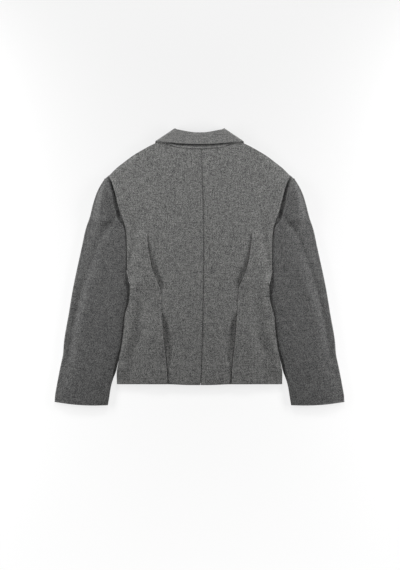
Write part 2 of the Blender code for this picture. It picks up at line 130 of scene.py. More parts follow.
def ramp(value: Places, start: Places, end: Places) -> np.ndarray:
    """Rises softly from 0 at start to 1 at end.

    Args:
        value: where to read it.
        start: where it leaves 0.
        end: where it reaches 1, on either side of start.

    Returns:
        Numbers from 0 to 1.
    """
    t = np.clip((value - start) / (end - start), 0.0, 1.0)
    return t * t * (3 - 2 * t)


def within(value: Places, start: Pair, end: Pair) -> np.ndarray:
    """Rises softly from 0 to 1 over one stretch and goes back to 0 over another.

    Args:
        value: where to read it.
        start: where it leaves 0, and where it reaches 1.
        end: where it is 0 again, and where it was 1 before.

    Returns:
        Numbers from 0 to 1.
    """
    return ramp(value, *start) * ramp(value, *end)


def hump(value: Places, middle: float, half_width: float) -> np.ndarray:
    """A soft hump of height 1, with its half width."""
    return np.exp(-((value - middle) / half_width) ** 2)


def creases(rows: Table, x: np.ndarray, y: np.ndarray) -> np.ndarray:
    """Height of soft troughs and ridges; rows that share an end join without a dent.

    Args:
        rows: a table of end points, half widths and heights.
        x: places across.
        y: places along.

    Returns:
        What they add to the cloth's height.
    """
    troughs, ridges = 0.0, np.zeros(np.broadcast(x, y).shape)
    for x0, y0, x1, y1, width, height in zip(*(rows[name] for name in CREASE_COLUMNS.split())):
        run = np.array((x1 - x0, y1 - y0))
        along = np.clip(((x - x0) * run[0] + (y - y0) * run[1]) / run.dot(run), 0.0, 1.0)
        distance = np.hypot(x - x0 - along * run[0], y - y0 - along * run[1])
        crease = height * hump(distance, 0.0, width)
        troughs, ridges = np.minimum(troughs, crease), np.maximum(ridges, crease)
    return troughs + ridges


def slack(x: np.ndarray, y: np.ndarray, height: float, seed: int) -> np.ndarray:
    """Long shallow waves that no laid cloth is without.

    Args:
        x: places across.
        y: places along.
        height: the usual height of a wave.
        seed: picks the waves.

    Returns:
        What they add to the cloth's height.
    """
    dice = np.random.default_rng(seed)
    total = np.zeros(np.broadcast(x, y).shape)
    for length in WAVE_LENGTHS:
        heading, phase = dice.uniform(0, math.pi), dice.uniform(0, 2 * math.pi)
        place = x * math.cos(heading) + y * math.sin(heading)
        total = total + np.sin(2 * math.pi * place / length + phase)
    return height * total / math.sqrt(len(WAVE_LENGTHS))


def spread(start: float, end: float, count: int, near_start: Steps = (0.0,),
           near_end: Steps = (0.0,)) -> np.ndarray:
    """Places from start to end, closer together where there is fine relief.

    Args:
        start: the first place.
        end: the last place.
        count: how many lie evenly between the close ones.
        near_start: distances from the start, rising from 0.
        near_end: distances from the end, rising from 0.

    Returns:
        The places in order.
    """
    first = start + np.array(near_start)
    last = end - np.array(near_end[::-1])
    return np.concatenate((first, np.linspace(first[-1], last[0], count + 2)[1:-1], last))


@dataclass(frozen=True)
class Lay:
    """How high each layer of the jacket lies, and the outline that its pieces share."""

    cloth: float = 2.8 * MM             # the wool with its interlining and lining
    seam_gap: float = 0.3 * MM
    layer_gap: float = 0.4 * MM
    loft: float = 2.8 * MM              # air that the wool keeps between back and front
    crown: float = 1.3 * MM             # more of it over the closure
    armpit_y: float = -0.0106
    tip_y: float = 0.2412               # where shoulder, armhole and sleeve head meet
    sleeve_loop: float = 3.4 * MM       # between the middles of a flat sleeve's layers
    side_lift_height: float = 6.55 * MM
    collar_rise: float = 3.5 * MM       # the collar's ends, under the fronts, lift them by this
    shoulder_roll: float = 14 * MM      # the loft closes towards the shoulder over this width
    shoulder_x: float = 0.088           # the back's top edge is the shoulder outside this
    side_roll: float = 14 * MM          # the loft closes towards the side seam over this width
    side_closes: Pair = (0.030, -0.020)                    # which it does from y to y
    lift_closes: float = 0.6            # the loft loses this share where the sleeve lifts it
    lift_y: tuple[Pair, Pair] = ((-0.0136, -0.044), (-0.304, -0.262))
    lift_inward: Pair = (0.046, 0.016)  # the lift grows between these distances from the edge
    collar_y: Pair = (0.222, 0.250)     # the collar's lift grows from y to y, and from x to x
    collar_x: Pair = (0.182, 0.150)
    lap_x: Pair = (0.062, 0.038)        # the upper front comes up on to the lower one here
    crown_x: Pair = (0.090, 0.035)
    crown_y: Pair = (0.300, 0.230)
    side: Table = field(default_factory=lambda: table(
        "y x", (-0.3100, 0.2186), (-0.2760, 0.2186), (-0.2518, 0.2144), (-0.2112, 0.2064),
        (-0.1707, 0.2009), (-0.1275, 0.1969), (-0.0896, 0.1866), (-0.0650, 0.1845),
        (-0.0450, 0.1850), (-0.0280, 0.1886), (-0.0106, 0.1921)))
    armhole: Table = field(default_factory=lambda: table(
        "y x", (-0.0106, 0.1921), (0.0450, 0.1921), (0.1023, 0.1956), (0.1643, 0.2152),
        (0.1908, 0.2216), (0.2173, 0.2294), (0.2306, 0.2342), (0.2412, 0.2398)))
    neck_and_shoulder: Table = field(default_factory=lambda: table(
        "x y", (-0.0200, 0.3130), (0.0000, 0.3127), (0.0400, 0.3150), (0.0700, 0.3205),
        (0.0840, 0.3270), (0.0920, 0.3350), (0.1080, 0.3305), (0.1259, 0.3230), (0.1524, 0.3087),
        (0.1789, 0.2928), (0.2001, 0.2769), (0.2213, 0.2600), (0.2398, 0.2412)))
    centre_seam: Table = field(default_factory=lambda: table(
        "y x", (-0.3100, 0.0029), (-0.1250, 0.0085), (0.0820, 0.0101), (0.3130, 0.0029)))

    @property
    def half(self) -> float:
        """Half of the cloth's wall."""
        return self.cloth / 2

    @property
    def lap_step(self) -> float:
        """From the middle of one layer to the middle of the next where cloth is folded."""
        return self.cloth + self.seam_gap

    @property
    def lowest_back(self) -> float:
        """Middle of the back's wall where it lies right on the fronts."""
        return self.cloth + self.layer_gap + self.half

    def edge(self, y: Places) -> np.ndarray:
        """Half width of the body: the side seam below the armpit, the armhole above it.

        Args:
            y: places along.

        Returns:
            The half width at each place.
        """
        curved = np.where(y < self.armpit_y, smooth_curve(self.side, "y", "x", y),
                          smooth_curve(self.armhole, "y", "x", y))
        straight = np.interp(y, self.armhole["y"], self.armhole["x"])
        return np.where(y > self.armhole["y"][-2], straight, curved)

    def side_lift(self, x: Places, y: Places) -> np.ndarray:
        """How far the sleeve lifts the body's edge that lies on it.

        Args:
            x: places across.
            y: places along.

        Returns:
            The lift at each place.
        """
        along = within(y, *self.lift_y)
        return self.side_lift_height * along * ramp(self.edge(y) - x, *self.lift_inward)

    def collar_lift(self, x: Places, y: Places) -> np.ndarray:
        """How far the collar's ends lift the fronts, and the back over them."""
        return self.collar_rise * ramp(y, *self.collar_y) * ramp(x, *self.collar_x)

    def front_level(self, x: Places, y: Places, on_top: bool) -> np.ndarray:
        """Middle of a front's wall.

        Args:
            x: places across.
            y: places along.
            on_top: whether this front laps over the other one.

        Returns:
            The height at each place.
        """
        beside = ramp(x, *self.lap_x) * ramp(y, *self.collar_y[::-1])
        lap = self.lap_step * beside if on_top else 0.0
        return self.half + lap + self.side_lift(x, y) + self.collar_lift(x, y)

    def back_level(self, x: Places, y: Places) -> np.ndarray:
        """Middle of the back's wall without its pleats, seams and creases.

        Args:
            x: places across.
            y: places along.

        Returns:
            The height at each place.
        """
        lift, over_collar = self.side_lift(x, y), self.collar_lift(x, y)
        at_side = 1 - ramp(self.edge(y) - x, 0.0, self.side_roll)
        closing = 1 - ramp(y, *self.side_closes) * at_side
        shoulder = smooth_curve(self.neck_and_shoulder, "x", "y", x)
        at_shoulder = ramp(shoulder - y, 0.0, self.shoulder_roll)
        closing = closing * np.where(x > self.shoulder_x, at_shoulder, 1.0)
        closing = closing * (1 - over_collar / self.collar_rise)
        closing = closing * (1 - self.lift_closes * lift / self.side_lift_height)
        crown = self.crown * ramp(np.abs(x), *self.crown_x) * ramp(y, *self.crown_y)
        return self.lowest_back + self.loft * closing + crown + lift + over_collar


LAY = Lay()


@dataclass(frozen=True)
class WoolFlannel:
    """Mid-grey wool flannel: worsted twill, milled and pressed.

    Dark and pale fibres are blended before spinning, so the eye sees a marl: each yarn shows as
    a small float of its own shade, with thicker and thinner yarns as faint streaks both ways of
    the weave. Its raised fibres make it matt, with a faint pale bloom where it turns away.
    """

    name: str = "wool_flannel_milled"
    dark: str = "#2D2D2E"
    middle: str = "#5E5E5D"
    pale: str = "#80807E"
    floats: Pair = (1.1 * MM, 1.4 * MM)     # coarser than real yarn's, so that they show
    slub_weight: float = 0.38      # how much thicker and thinner yarns change the shade
    streak: float = 4.0 * MM       # their width, coarser for the same reason
    streak_length: float = 22 * MM
    nap: float = 0.7 * MM          # tufts of raised fibre
    nap_height: float = 0.25 * MM
    roughness: float = 0.92
    bloom: float = 0.12

    def dress(self) -> bpy.types.Material:
        """Makes the material.

        Returns:
            The material, which reads the piece's own UV map in metres.
        """
        material, tree = bare_material(self.name)
        cut = add_node(tree, "ShaderNodeUVMap", {"uv_map": "cut"})
        cells = add_node(tree, "ShaderNodeVectorMath", {"operation": "SNAP"}, {
            0: cut.outputs[0], 1: (*self.floats, 1.0)})
        marl = add_node(tree, "ShaderNodeTexWhiteNoise", {"noise_dimensions": "2D"}, {
            "Vector": cells.outputs[0]})
        share = self.streak / self.streak_length
        weft, warp, nap = (
            add_node(tree, "ShaderNodeTexNoise", {"noise_dimensions": "2D"}, {
                "Vector": add_node(tree, "ShaderNodeMapping", {}, {
                    "Vector": cut.outputs[0], "Scale": scale}).outputs[0],
                "Scale": 1 / size, "Detail": 1.0, "Roughness": 0.5})
            for scale, size in (((share, 1.0, 1.0), self.streak), ((1.0, share, 1.0), self.streak),
                                ((1.0, 1.0, 1.0), self.nap)))
        tone = add_math(tree, "MULTIPLY_ADD", weft.outputs["Fac"], self.slub_weight,
                        -self.slub_weight)
        tone = add_math(tree, "MULTIPLY_ADD", warp.outputs["Fac"], self.slub_weight, tone)
        tone = add_math(tree, "ADD", marl.outputs["Value"], tone)
        shades = add_node(tree, "ShaderNodeValToRGB", {}, {"Fac": tone})
        ends = shades.color_ramp.elements
        ends[0].position, ends[0].color = 0.0, linear(self.dark)
        ends[1].position, ends[1].color = 1.0, linear(self.pale)
        ends.new(0.50).color = linear(self.middle)
        bump = add_node(tree, "ShaderNodeBump", {}, {
            "Height": nap.outputs["Fac"], "Strength": 0.35, "Distance": self.nap_height})
        shader = add_node(tree, "ShaderNodeBsdfPrincipled", {}, {
            "Base Color": shades.outputs["Color"], "Normal": bump.outputs[0],
            "Roughness": self.roughness, "Metallic": 0.0, "IOR": 1.5, "Specular IOR Level": 0.25,
            "Sheen Weight": self.bloom, "Sheen Roughness": 0.6, "Sheen Tint": linear("#C8C8C8")})
        add_node(tree, "ShaderNodeOutputMaterial", {}, {"Surface": shader.outputs[0]})
        return material


@dataclass(frozen=True)
class PolyesterThread:
    """Spun polyester sewing thread, dyed to the wool: a shade darker and a little smoother."""

    name: str = "polyester_thread_spun"
    shade: str = "#565657"
    between: str = "#4B4B4C"           # painted shade in the furrows of its twist
    twist: float = 0.7 * MM

    def dress(self) -> bpy.types.Material:
        """Makes the material.

        Returns:
            The material, with the thread's twist as fine bands of painted shade.
        """
        material, tree = bare_material(self.name)
        place = add_node(tree, "ShaderNodeTexCoord", {})
        # the wave's dark bands are painted shade in the furrows of the twist
        bands = add_node(tree, "ShaderNodeTexWave", {"bands_direction": "DIAGONAL"}, {
            "Vector": place.outputs["Object"], "Scale": 2 * math.pi / 20 / self.twist})
        shades = add_node(tree, "ShaderNodeValToRGB", {}, {"Fac": bands.outputs["Fac"]})
        shades.color_ramp.elements[0].color = linear(self.between)
        shades.color_ramp.elements[1].color = linear(self.shade)
        shader = add_node(tree, "ShaderNodeBsdfPrincipled", {}, {
            "Base Color": shades.outputs["Color"], "Roughness": 0.6, "IOR": 1.5,
            "Specular IOR Level": 0.35})
        add_node(tree, "ShaderNodeOutputMaterial", {}, {"Surface": shader.outputs[0]})
        return material


@dataclass(frozen=True)
class OpalTable:
    """Opal acrylic of a light table: it drinks in light, so shadows on it stay faint.

    Its own glow falls a little towards the collar, where the room's light is stronger, so the
    eye sees one even pale floor.
    """

    name: str = "opal_acrylic_backlit"
    shade: str = "#828282"
    light: str = "#F7F7F7"
    glow: float = 0.745
    fall: float = 0.24                 # how much less it glows for each metre towards the collar
    reach: float = 0.80                # as far as that goes, in metres from the middle
    tooth: float = 900.0               # fineness of its matt surface

    def dress(self) -> bpy.types.Material:
        """Makes the material.

        Returns:
            The material, with the sheet's faint tooth and its glow.
        """
        material, tree = bare_material(self.name)
        place = add_node(tree, "ShaderNodeTexCoord", {})
        tooth = add_node(tree, "ShaderNodeTexNoise", {}, {
            "Vector": place.outputs["Object"], "Scale": self.tooth, "Detail": 1.0})
        bump = add_node(tree, "ShaderNodeBump", {}, {"Height": tooth.outputs["Fac"],
                                                     "Strength": 0.05, "Distance": 0.05 * MM})
        parts = add_node(tree, "ShaderNodeSeparateXYZ", {}, {0: place.outputs["Object"]})
        change = self.fall * self.reach
        glow = add_node(tree, "ShaderNodeMapRange", {}, {
            "Value": parts.outputs["Y"], "From Min": -self.reach, "From Max": self.reach,
            "To Min": self.glow + change, "To Max": self.glow - change})
        shader = add_node(tree, "ShaderNodeBsdfPrincipled", {}, {
            "Base Color": linear(self.shade), "Normal": bump.outputs[0], "Roughness": 0.9,
            "Specular IOR Level": 0.1, "Emission Color": linear(self.light),
            "Emission Strength": glow.outputs[0]})
        add_node(tree, "ShaderNodeOutputMaterial", {}, {"Surface": shader.outputs[0]})
        return material


def linear(shade: str) -> tuple[float, float, float, float]:
    """Turns an sRGB hex colour to linear light.

    Args:
        shade: the colour as "#RRGGBB".

    Returns:
        Red, green, blue and an opaque alpha.
    """
    channels = [int(shade[place:place + 2], 16) / 255 for place in (1, 3, 5)]
    bent = [c / 12.92 if c <= 0.04045 else ((c + 0.055) / 1.055) ** 2.4 for c in channels]
    return bent[0], bent[1], bent[2], 1.0


def bare_material(name: str) -> tuple[bpy.types.Material, bpy.types.NodeTree]:
    """Makes a material that has no nodes yet.

    Args:
        name: its name.

    Returns:
        The material and its node tree.
    """
    material = bpy.data.materials.new(name)
    material.use_nodes = True
    material.node_tree.nodes.clear()
    return material, material.node_tree


def add_object(name: str, data: bpy.types.ID) -> bpy.types.Object:
    """Puts a new object in the scene.

    Args:
        name: its name.
        data: its mesh, light or camera.

    Returns:
        The object.
    """
    made = bpy.data.objects.new(name, data)
    bpy.context.scene.collection.objects.link(made)
    return made


def add_math(tree: bpy.types.NodeTree, operation: str, *values: object) -> bpy.types.NodeSocket:
    """Adds a node that reckons with numbers.

    Args:
        tree: where it goes.
        operation: what it does.
        values: for each socket a number or the output that is linked to it.

    Returns:
        The node's output.
    """
    node = add_node(tree, "ShaderNodeMath", {"operation": operation}, dict(enumerate(values)))
    return node.outputs[0]


def add_node(tree: bpy.types.NodeTree, kind: str, settings: dict[str, object],
             inputs: dict[str | int, object] | None = None) -> bpy.types.Node:
    """Adds a node with its settings and links.

    Args:
        tree: where it goes.
        kind: the node's type.
        settings: the node's own settings.
        inputs: for each socket, by name or number, a value or the output that is linked to it.

    Returns:
        The node.
    """
    node = tree.nodes.new(kind)
    for name, value in settings.items():
        setattr(node, name, value)
    for name, value in (inputs or {}).items():
        socket = node.inputs[name]
        if isinstance(value, bpy.types.NodeSocket):
            tree.links.new(value, socket)
        else:
            socket.default_value = value
    return node


@dataclass
class ClothSheet:
    """One sheet of cloth through a grid of points on its middle.

    The grid holds (rows, columns, 3) points. The first tube_rows rows are closed rings. Above
    them the last turn_columns columns, which lie in the ring's second fold, are left out.
    """

    name: str
    grid: np.ndarray
    grain: np.ndarray
    tube_rows: int = 0
    turn_columns: int = 0
    thickness: float = LAY.cloth
    cut_from: tuple[float, float] = (0.0, 0.0)

    def faces(self) -> np.ndarray:
        """The sheet's faces.

        Returns:
            (faces, 4, 2) corners as (row, column), with columns not yet wrapped.
        """
        count, width = self.grid.shape[:2]
        found = []
        for row in range(count - 1):
            end = width if row + 1 < self.tube_rows else width - 1 - self.turn_columns
            column = np.arange(end)
            found.append(np.stack([np.stack((np.full(end, row + up), column + across), axis=-1)
                                   for up, across in ((0, 0), (0, 1), (1, 1), (1, 0))], axis=1))
        return np.concatenate(found)

    def build(self, material: bpy.types.Material, faces_down: bool) -> bpy.types.Object:
        """Makes the piece, with its UV map in metres and its wall.

        Args:
            material: the piece's finish.
            faces_down: whether the grid's own order gives faces that look down.

        Returns:
            The piece, in the scene.
        """
        corners = self.faces()
        width = self.grid.shape[1]
        if faces_down:
            corners = corners[:, ::-1]
        numbers = corners[..., 0] * width + corners[..., 1] % width
        used, numbered = np.unique(numbers, return_inverse=True)
        mesh = bpy.data.meshes.new(self.name)
        mesh.from_pydata(self.grid.reshape(-1, 3)[used].tolist(), [],
                         numbered.reshape(numbers.shape).tolist())
        layer = mesh.uv_layers.new(name="cut")
        place = self.grain[corners[..., 0], corners[..., 1]] + self.cut_from
        layer.data.foreach_set("uv", place.ravel())
        mesh.update()
        mesh.shade_smooth()
        mesh.materials.append(material)
        piece = add_object(self.name, mesh)
        wall = piece.modifiers.new("wall", "SOLIDIFY")
        wall.thickness = self.thickness
        wall.offset = 0.0
        LOG.info("%s: %d faces", self.name, len(corners))
        return piece


def grain_of(grid: np.ndarray, along: np.ndarray, start: np.ndarray, ring: bool) -> np.ndarray:
    """Where each point lay on the flat cloth, so that the weave follows the cut.

    Args:
        grid: the sheet's points.
        along: each row's own place along the warp, or each point's.
        start: each row's place across the cloth at its first point.
        ring: whether a row closes on itself.

    Returns:
        (rows, columns + 1, 2) places in metres; the last column is the first, a whole turn on.
    """
    closed = np.concatenate((grid, grid[:, :1]), axis=1)
    if not ring:
        closed[:, -1] = closed[:, -2]
    steps = np.hypot(np.diff(closed[..., 0], axis=1), np.diff(closed[..., 2], axis=1))
    across = start[:, None] + np.concatenate((np.zeros((len(grid), 1)), np.cumsum(steps, axis=1)),
                                             axis=1)
    if along.ndim == 1:
        along = np.repeat(along[:, None], closed.shape[1], axis=1)
    else:
        along = np.concatenate((along, along[:, -1:]), axis=1)
    return np.stack((across, along), axis=-1)


@dataclass
class Pleat:
    """The pleat of a back half: free above, stitched down at the waist, free again below."""

    turn_steps: int = 8                # in each turn of the cloth
    flat_steps: int = 5                # and between them
    tip_y: float = 0.1050              # the fold starts to rise here
    open_y: float = 0.0480             # from here down the cloth is folded fully
    tacks: tuple[float, float] = (-0.0610, -0.1250)   # ends of the stitched stretch
    settle: float = 0.0400             # the upper layer sinks over this width beyond its fold
    valley: float = 0.0220             # the centre panel sinks to an open fold over this width
    valley_depth: float = 2.4 * MM
    gully: float = 2.8 * MM            # then it drops right beside the fold
    stitched_gully: float = 0.35       # over this share of it where the fold is stitched
    clearance: float = 0.5 * MM        # between what drops there and the fold
    rest: float = 3.0 * MM             # the upper layer keeps the fold's height over this width
    puffed: float = 0.22               # air in the free fold adds this share to its height
    waist_rise: float = 1.3 * MM       # the centre panel is pulled up to the stitched fold
    pressed: float = 0.24              # the stitches press this share of its height out of the fold
    floor_gap: float = 0.2 * MM        # air under the lower layer at the fold
    fold: Table = field(default_factory=lambda: table(
        "y x depth", (-0.3100, 0.0845, 0.024), (-0.2465, 0.0888, 0.023), (-0.1800, 0.0965, 0.021),
        (-0.1350, 0.0985, 0.019), (-0.1034, 0.0999, 0.018), (-0.0610, 0.1034, 0.017),
        (-0.0278, 0.1166, 0.014), (0.0040, 0.1277, 0.011), (0.0318, 0.1325, 0.008),
        (0.0564, 0.1359, 0.004), (0.0835, 0.1418, 0.001), (0.1643, 0.1520, 0.001)))
    stands_open: Table = field(default_factory=lambda: table(
        "y share", (-0.3100, 0.30), (-0.2600, 0.35), (-0.2250, 0.60), (-0.1950, 0.95),
        (-0.1650, 1.0), (-0.1450, 0.75), (-0.1300, 0.25), (-0.1200, 0.0), (-0.0660, 0.0),
        (-0.0530, 0.60), (-0.0400, 0.95), (-0.0200, 1.0), (0.0050, 0.75), (0.0350, 0.40),
        (0.0700, 0.12), (0.1000, 0.0)))

    def angle(self, y: float) -> float:
        """How far the cloth is turned at its folds: half a turn where it is folded flat."""
        return math.pi * float(ramp(y, self.tip_y, self.open_y))

    def openness(self, y: float) -> float:
        """How far the fold stands open: 0 where it is stitched down."""
        return float(np.interp(y, self.stands_open["y"], self.stands_open["share"]))

    def section(self, y: float) -> tuple[np.ndarray, np.ndarray]:
        """Middle line of the pleat from the lower layer to the upper one.

        Args:
            y: the row's place.

        Returns:
            How far each point lies across and up from the first.
        """
        angle, depth = self.angle(y), float(smooth_curve(self.fold, "y", "depth", y))
        parts = (np.arange(self.turn_steps) + 0.5) / self.turn_steps
        chord = LAY.lap_step / np.sin(math.pi * parts).sum()
        turns, flat = np.full(self.turn_steps, chord), np.full(self.flat_steps, 1.0)
        headings = np.concatenate((angle * parts, angle * flat, angle * parts[::-1]))
        lengths = np.concatenate((turns, depth / self.flat_steps * flat, turns))
        across = np.concatenate(([0.0], np.cumsum(lengths * np.cos(headings))))
        up = np.concatenate(([0.0], np.cumsum(lengths * np.sin(headings))))
        height = 2 * LAY.lap_step * float(ramp(angle, 0.0, math.pi / 2))
        free = self.openness(y)
        height *= 1 + self.puffed * free - self.pressed * (1 - free)
        return across, up * height / max(up[-1], LAY.lap_step / 100)


@dataclass
class BackHalf:
    """Left or right back, from the centre seam to the side seam and armhole."""

    side: Side
    pleat: Pleat = field(default_factory=Pleat)
    hem_y: float = -0.3100
    lean_y: float = 0.1643             # above this height the rows lean to the neck and shoulder
    pitch: float = 3.0 * MM
    centre_steps: int = 30             # even points across the centre panel
    outer_steps: int = 20              # and across the side panel
    armhole_ridge: float = 3.2 * MM    # seam allowances pressed under the body's edge
    ridge_width: float = 8.5 * MM      # as far as their topstitching
    ridge_starts: float = 0.034        # the cloth rises to the ridge from here inside the edge
    ridge_widens: Pair = (0.118, 0.150)
    ridge_y: tuple[Pair, Pair] = ((0.055, 0.145), (0.239, 0.222))
    armhole_curl: float = 1.6 * MM     # the edge turns down to the sleeve
    plain_curl: float = 0.25           # by this share where there is no ridge
    curl_inward: Pair = (6.5 * MM, -1.0 * MM)
    curl_y: tuple[Pair, Pair] = ((-0.010, 0.020), (0.236, 0.222))
    groove: float = 0.45 * MM          # a stitch pulls the wool in by this
    groove_width: float = 0.9 * MM
    groove_y: tuple[Pair, Pair] = ((0.118, 0.128), (0.243, 0.236))
    seam_dip: float = 0.6 * MM         # the right back lies lower at the centre seam by this,
    seam_rise: float = 0.18 * MM       # the left one higher by this
    seam_width: float = 9 * MM
    slit: float = 0.40 * MM            # a seam's fold lines keep this far from the seam itself,
    slit_closes: float = 0.92          # and lose this share of it where no front lies under it
    bare_y: Pair = (0.110, 0.150)      # which is above here
    hem_line_y: float = -0.2690
    hem_step: float = 0.35 * MM        # the turned-up hem is thicker by this
    hem_roll: float = 0.5 * MM         # and its edge bends down by this
    hem_sag: float = 2.2 * MM          # the hem bows out at the centre by this
    sag_x: Pair = (0.090, 0.020)
    sag_top_y: float = -0.262
    crease_fade: float = 0.012         # creases end this far from the edge
    wave: float = 0.12 * MM
    wave_seed: int = 3
    pucker_top_y: float = -0.0400
    pucker_pitch: float = 0.0100
    pucker_count: int = 5
    pucker_height: float = 2.2 * MM
    pucker_reach: float = 0.0280
    pucker_sway: Pair = (0.15, 2.7)    # how unevenly they follow each other, and how often
    pucker_lean: float = 1.1           # a wave also moves inwards, by this share of its height
    folds: Table = field(default_factory=lambda: table(
        CREASE_COLUMNS,
        (0.1895, 0.0080, 0.1680, 0.0715, 0.011, -0.0020),
        (0.1680, 0.0715, 0.1630, 0.1350, 0.012, -0.0017),
        (0.1800, 0.0500, 0.1840, 0.1200, 0.008, 0.0012),
        (0.1480, 0.0550, 0.1600, 0.0050, 0.011, 0.0015),
        (0.1470, -0.1670, 0.1895, -0.2460, 0.014, -0.0024),
        (0.0146, -0.1830, 0.0300, -0.2460, 0.009, -0.0013),
        (0.0676, -0.1830, 0.0780, -0.2460, 0.009, -0.0018),
        (0.0470, 0.2400, 0.0470, 0.1770, 0.016, -0.0011)))

    def seam_x(self, y: Places) -> np.ndarray:
        """Where the half's cloth starts at the centre seam.

        Args:
            y: places along.

        Returns:
            Its x at each place, closer to the seam where no front lies under it.
        """
        slit = self.slit * (1 - self.slit_closes * ramp(y, *self.bare_y))
        return self.side.value * smooth_curve(LAY.centre_seam, "y", "x", y) + slit

    def row(self, y: float) -> tuple[np.ndarray, np.ndarray]:
        """One level row of the back.

        Args:
            y: the row's place.

        Returns:
            Its points across and up, from the centre seam to the edge.
        """
        edge = float(LAY.edge(y))
        fold_x = float(smooth_curve(self.pleat.fold, "y", "x", y))
        across, up = self.pleat.section(y)
        upper_x = fold_x + LAY.half + LAY.lap_step / 2
        lower_x = upper_x - across[-1]
        seam_x = float(self.seam_x(y))
        meet_x = min(fold_x, lower_x) - self.pleat.clearance
        folded = float(ramp(self.pleat.angle(y), 0.0, math.pi))
        free = self.pleat.openness(y)
        valley, gully = self.pleat.valley, self.pleat.gully
        centre = np.concatenate((
            spread(seam_x, meet_x - valley, self.centre_steps, mm(0.0, 0.4, 0.8, 1.3, 2.0, 3.2)),
            np.linspace(meet_x - valley, meet_x - gully - 1 * MM, 10)[1:],
            meet_x - gully * np.array((1.2, 1.0, 0.8, 0.6, 0.4, 0.2, 0.0))))
        level = LAY.back_level(centre, y)
        rise = self.pleat.waist_rise * (1 - free) - self.pleat.valley_depth * free
        level = level + folded * rise * ramp(centre, meet_x - gully - valley, meet_x - gully)
        fold_z = level[-1] + (LAY.lowest_back + self.pleat.floor_gap - level[-1]) * folded
        drop = gully * (self.pleat.stitched_gully + (1 - self.pleat.stitched_gully) * free)
        level = level + (fold_z - level[-1]) * ramp(centre, meet_x - drop, meet_x)
        hidden = np.linspace(meet_x, lower_x, 5)[1:-1]
        rest_x = max(lower_x, upper_x) + LAY.cloth + self.pleat.rest
        near_edge = mm(0, 0.4, 0.9, 1.6, 2.5, 3.5, 4.5, 5.5, 6.5, 7.3, 8.0, 8.5, 9.0, 9.7, 11)
        outer = np.concatenate((np.linspace(upper_x, rest_x, 7)[1:],
                                spread(rest_x, edge, self.outer_steps, near_end=near_edge)[1:]))
        settle = ramp(outer, rest_x, rest_x + self.pleat.settle)
        outer_z = (fold_z + up[-1]) * (1 - settle) + LAY.back_level(outer, y) * settle
        waves = self.puckers(outer, y)
        x = np.concatenate((centre, hidden, lower_x + across, outer - self.pucker_lean * waves))
        z = np.concatenate((level, np.full_like(hidden, fold_z), fold_z + up, outer_z + waves))
        return x, z

    def puckers(self, x: Places, y: Places) -> np.ndarray:
        """Small waves gathered into the side seam at the waist.

        Args:
            x: places across.
            y: places along.

        Returns:
            What they add to the cloth's height.
        """
        down = (self.pucker_top_y - y) / self.pucker_pitch
        inside = within(down, (-0.5, 0.5), (self.pucker_count + 0.5, self.pucker_count - 0.5))
        sway, often = self.pucker_sway
        wave = 0.5 - 0.5 * np.cos(2 * math.pi * (down + sway * np.sin(often * down)))
        near = ramp(LAY.edge(y) - x, self.pucker_reach, 0.0)
        return self.pucker_height * wave * inside * near

    def armhole_relief(self, x: np.ndarray, y: np.ndarray) -> np.ndarray:
        """The pressed seam along the armhole: its ridge, topstitching and turned edge.

        Args:
            x: places across.
            y: places along.

        Returns:
            What it adds to the cloth's height.
        """
        inward = LAY.edge(y) - x
        width = self.ridge_width * ramp(y, *self.ridge_widens) + 1e-5
        strength = within(y, *self.ridge_y)
        ridge = self.armhole_ridge * strength * ramp(inward, self.ridge_starts, width)
        stitched = self.groove * hump(inward, width, self.groove_width) * within(y, *self.groove_y)
        curl = self.armhole_curl * (self.plain_curl + (1 - self.plain_curl) * strength)
        return ridge - stitched - curl * ramp(inward, *self.curl_inward) * within(y, *self.curl_y)

    def relief(self, x: np.ndarray, y: np.ndarray) -> np.ndarray:
        """Seams, stitch lines and creases of the whole half.

        Args:
            x: places across.
            y: places along.

        Returns:
            What they add to the cloth's height.
        """
        seam = x - self.side.value * smooth_curve(LAY.centre_seam, "y", "x", y)
        lower = self.seam_dip if self.side is Side.RIGHT else -self.seam_rise
        centre = lower * ramp(seam, self.seam_width, self.slit) * (1 + ramp(y, *self.bare_y))
        hem = self.hem_step * ramp(y, self.hem_line_y + 1.2 * MM, self.hem_line_y)
        rolled = self.hem_roll * ramp(y, self.hem_y + 2.5 * MM, self.hem_y)
        folds = creases(self.folds, x, y) * ramp(LAY.edge(y) - x, 0.0, self.crease_fade)
        return (hem - centre - rolled + folds + self.armhole_relief(x, y)
                + slack(x, y, self.wave, self.wave_seed + self.side.number))

    def path(self, x: np.ndarray, y: Places) -> np.ndarray:
        """A path in plan on this half, from places on the right one.

        Args:
            x: the path's x.
            y: its y, or the one y of a level path.

        Returns:
            (points, 2) places.
        """
        return np.stack((self.side.value * x, np.broadcast_to(y, x.shape)), axis=-1)

    def stitch_lines(self) -> dict[str, tuple[list[np.ndarray], float, float]]:
        """Where the back is stitched from the right side.

        Returns:
            For each kind of stitching its paths in plan, the stitch's length and the step.
        """
        arm_y = np.linspace(0.126, 0.236, 90)
        armhole = self.path(LAY.edge(arm_y) - self.ridge_width, arm_y)
        tack = np.linspace(1.0, 6.0, 9) * MM
        tacks = [self.path(float(smooth_curve(self.pleat.fold, "y", "x", y)) + tack, y)
                 for y in self.pleat.tacks]
        hem = self.path(np.linspace(0.010, 0.205, 160), self.hem_line_y)
        return {"armhole_topstitch": ([armhole], 2.4 * MM, 3.2 * MM),
                "bar_tack": (tacks, 0.9 * MM, 0.8 * MM),
                "hem_blind_stitch": ([hem], 0.9 * MM, 8.0 * MM)}

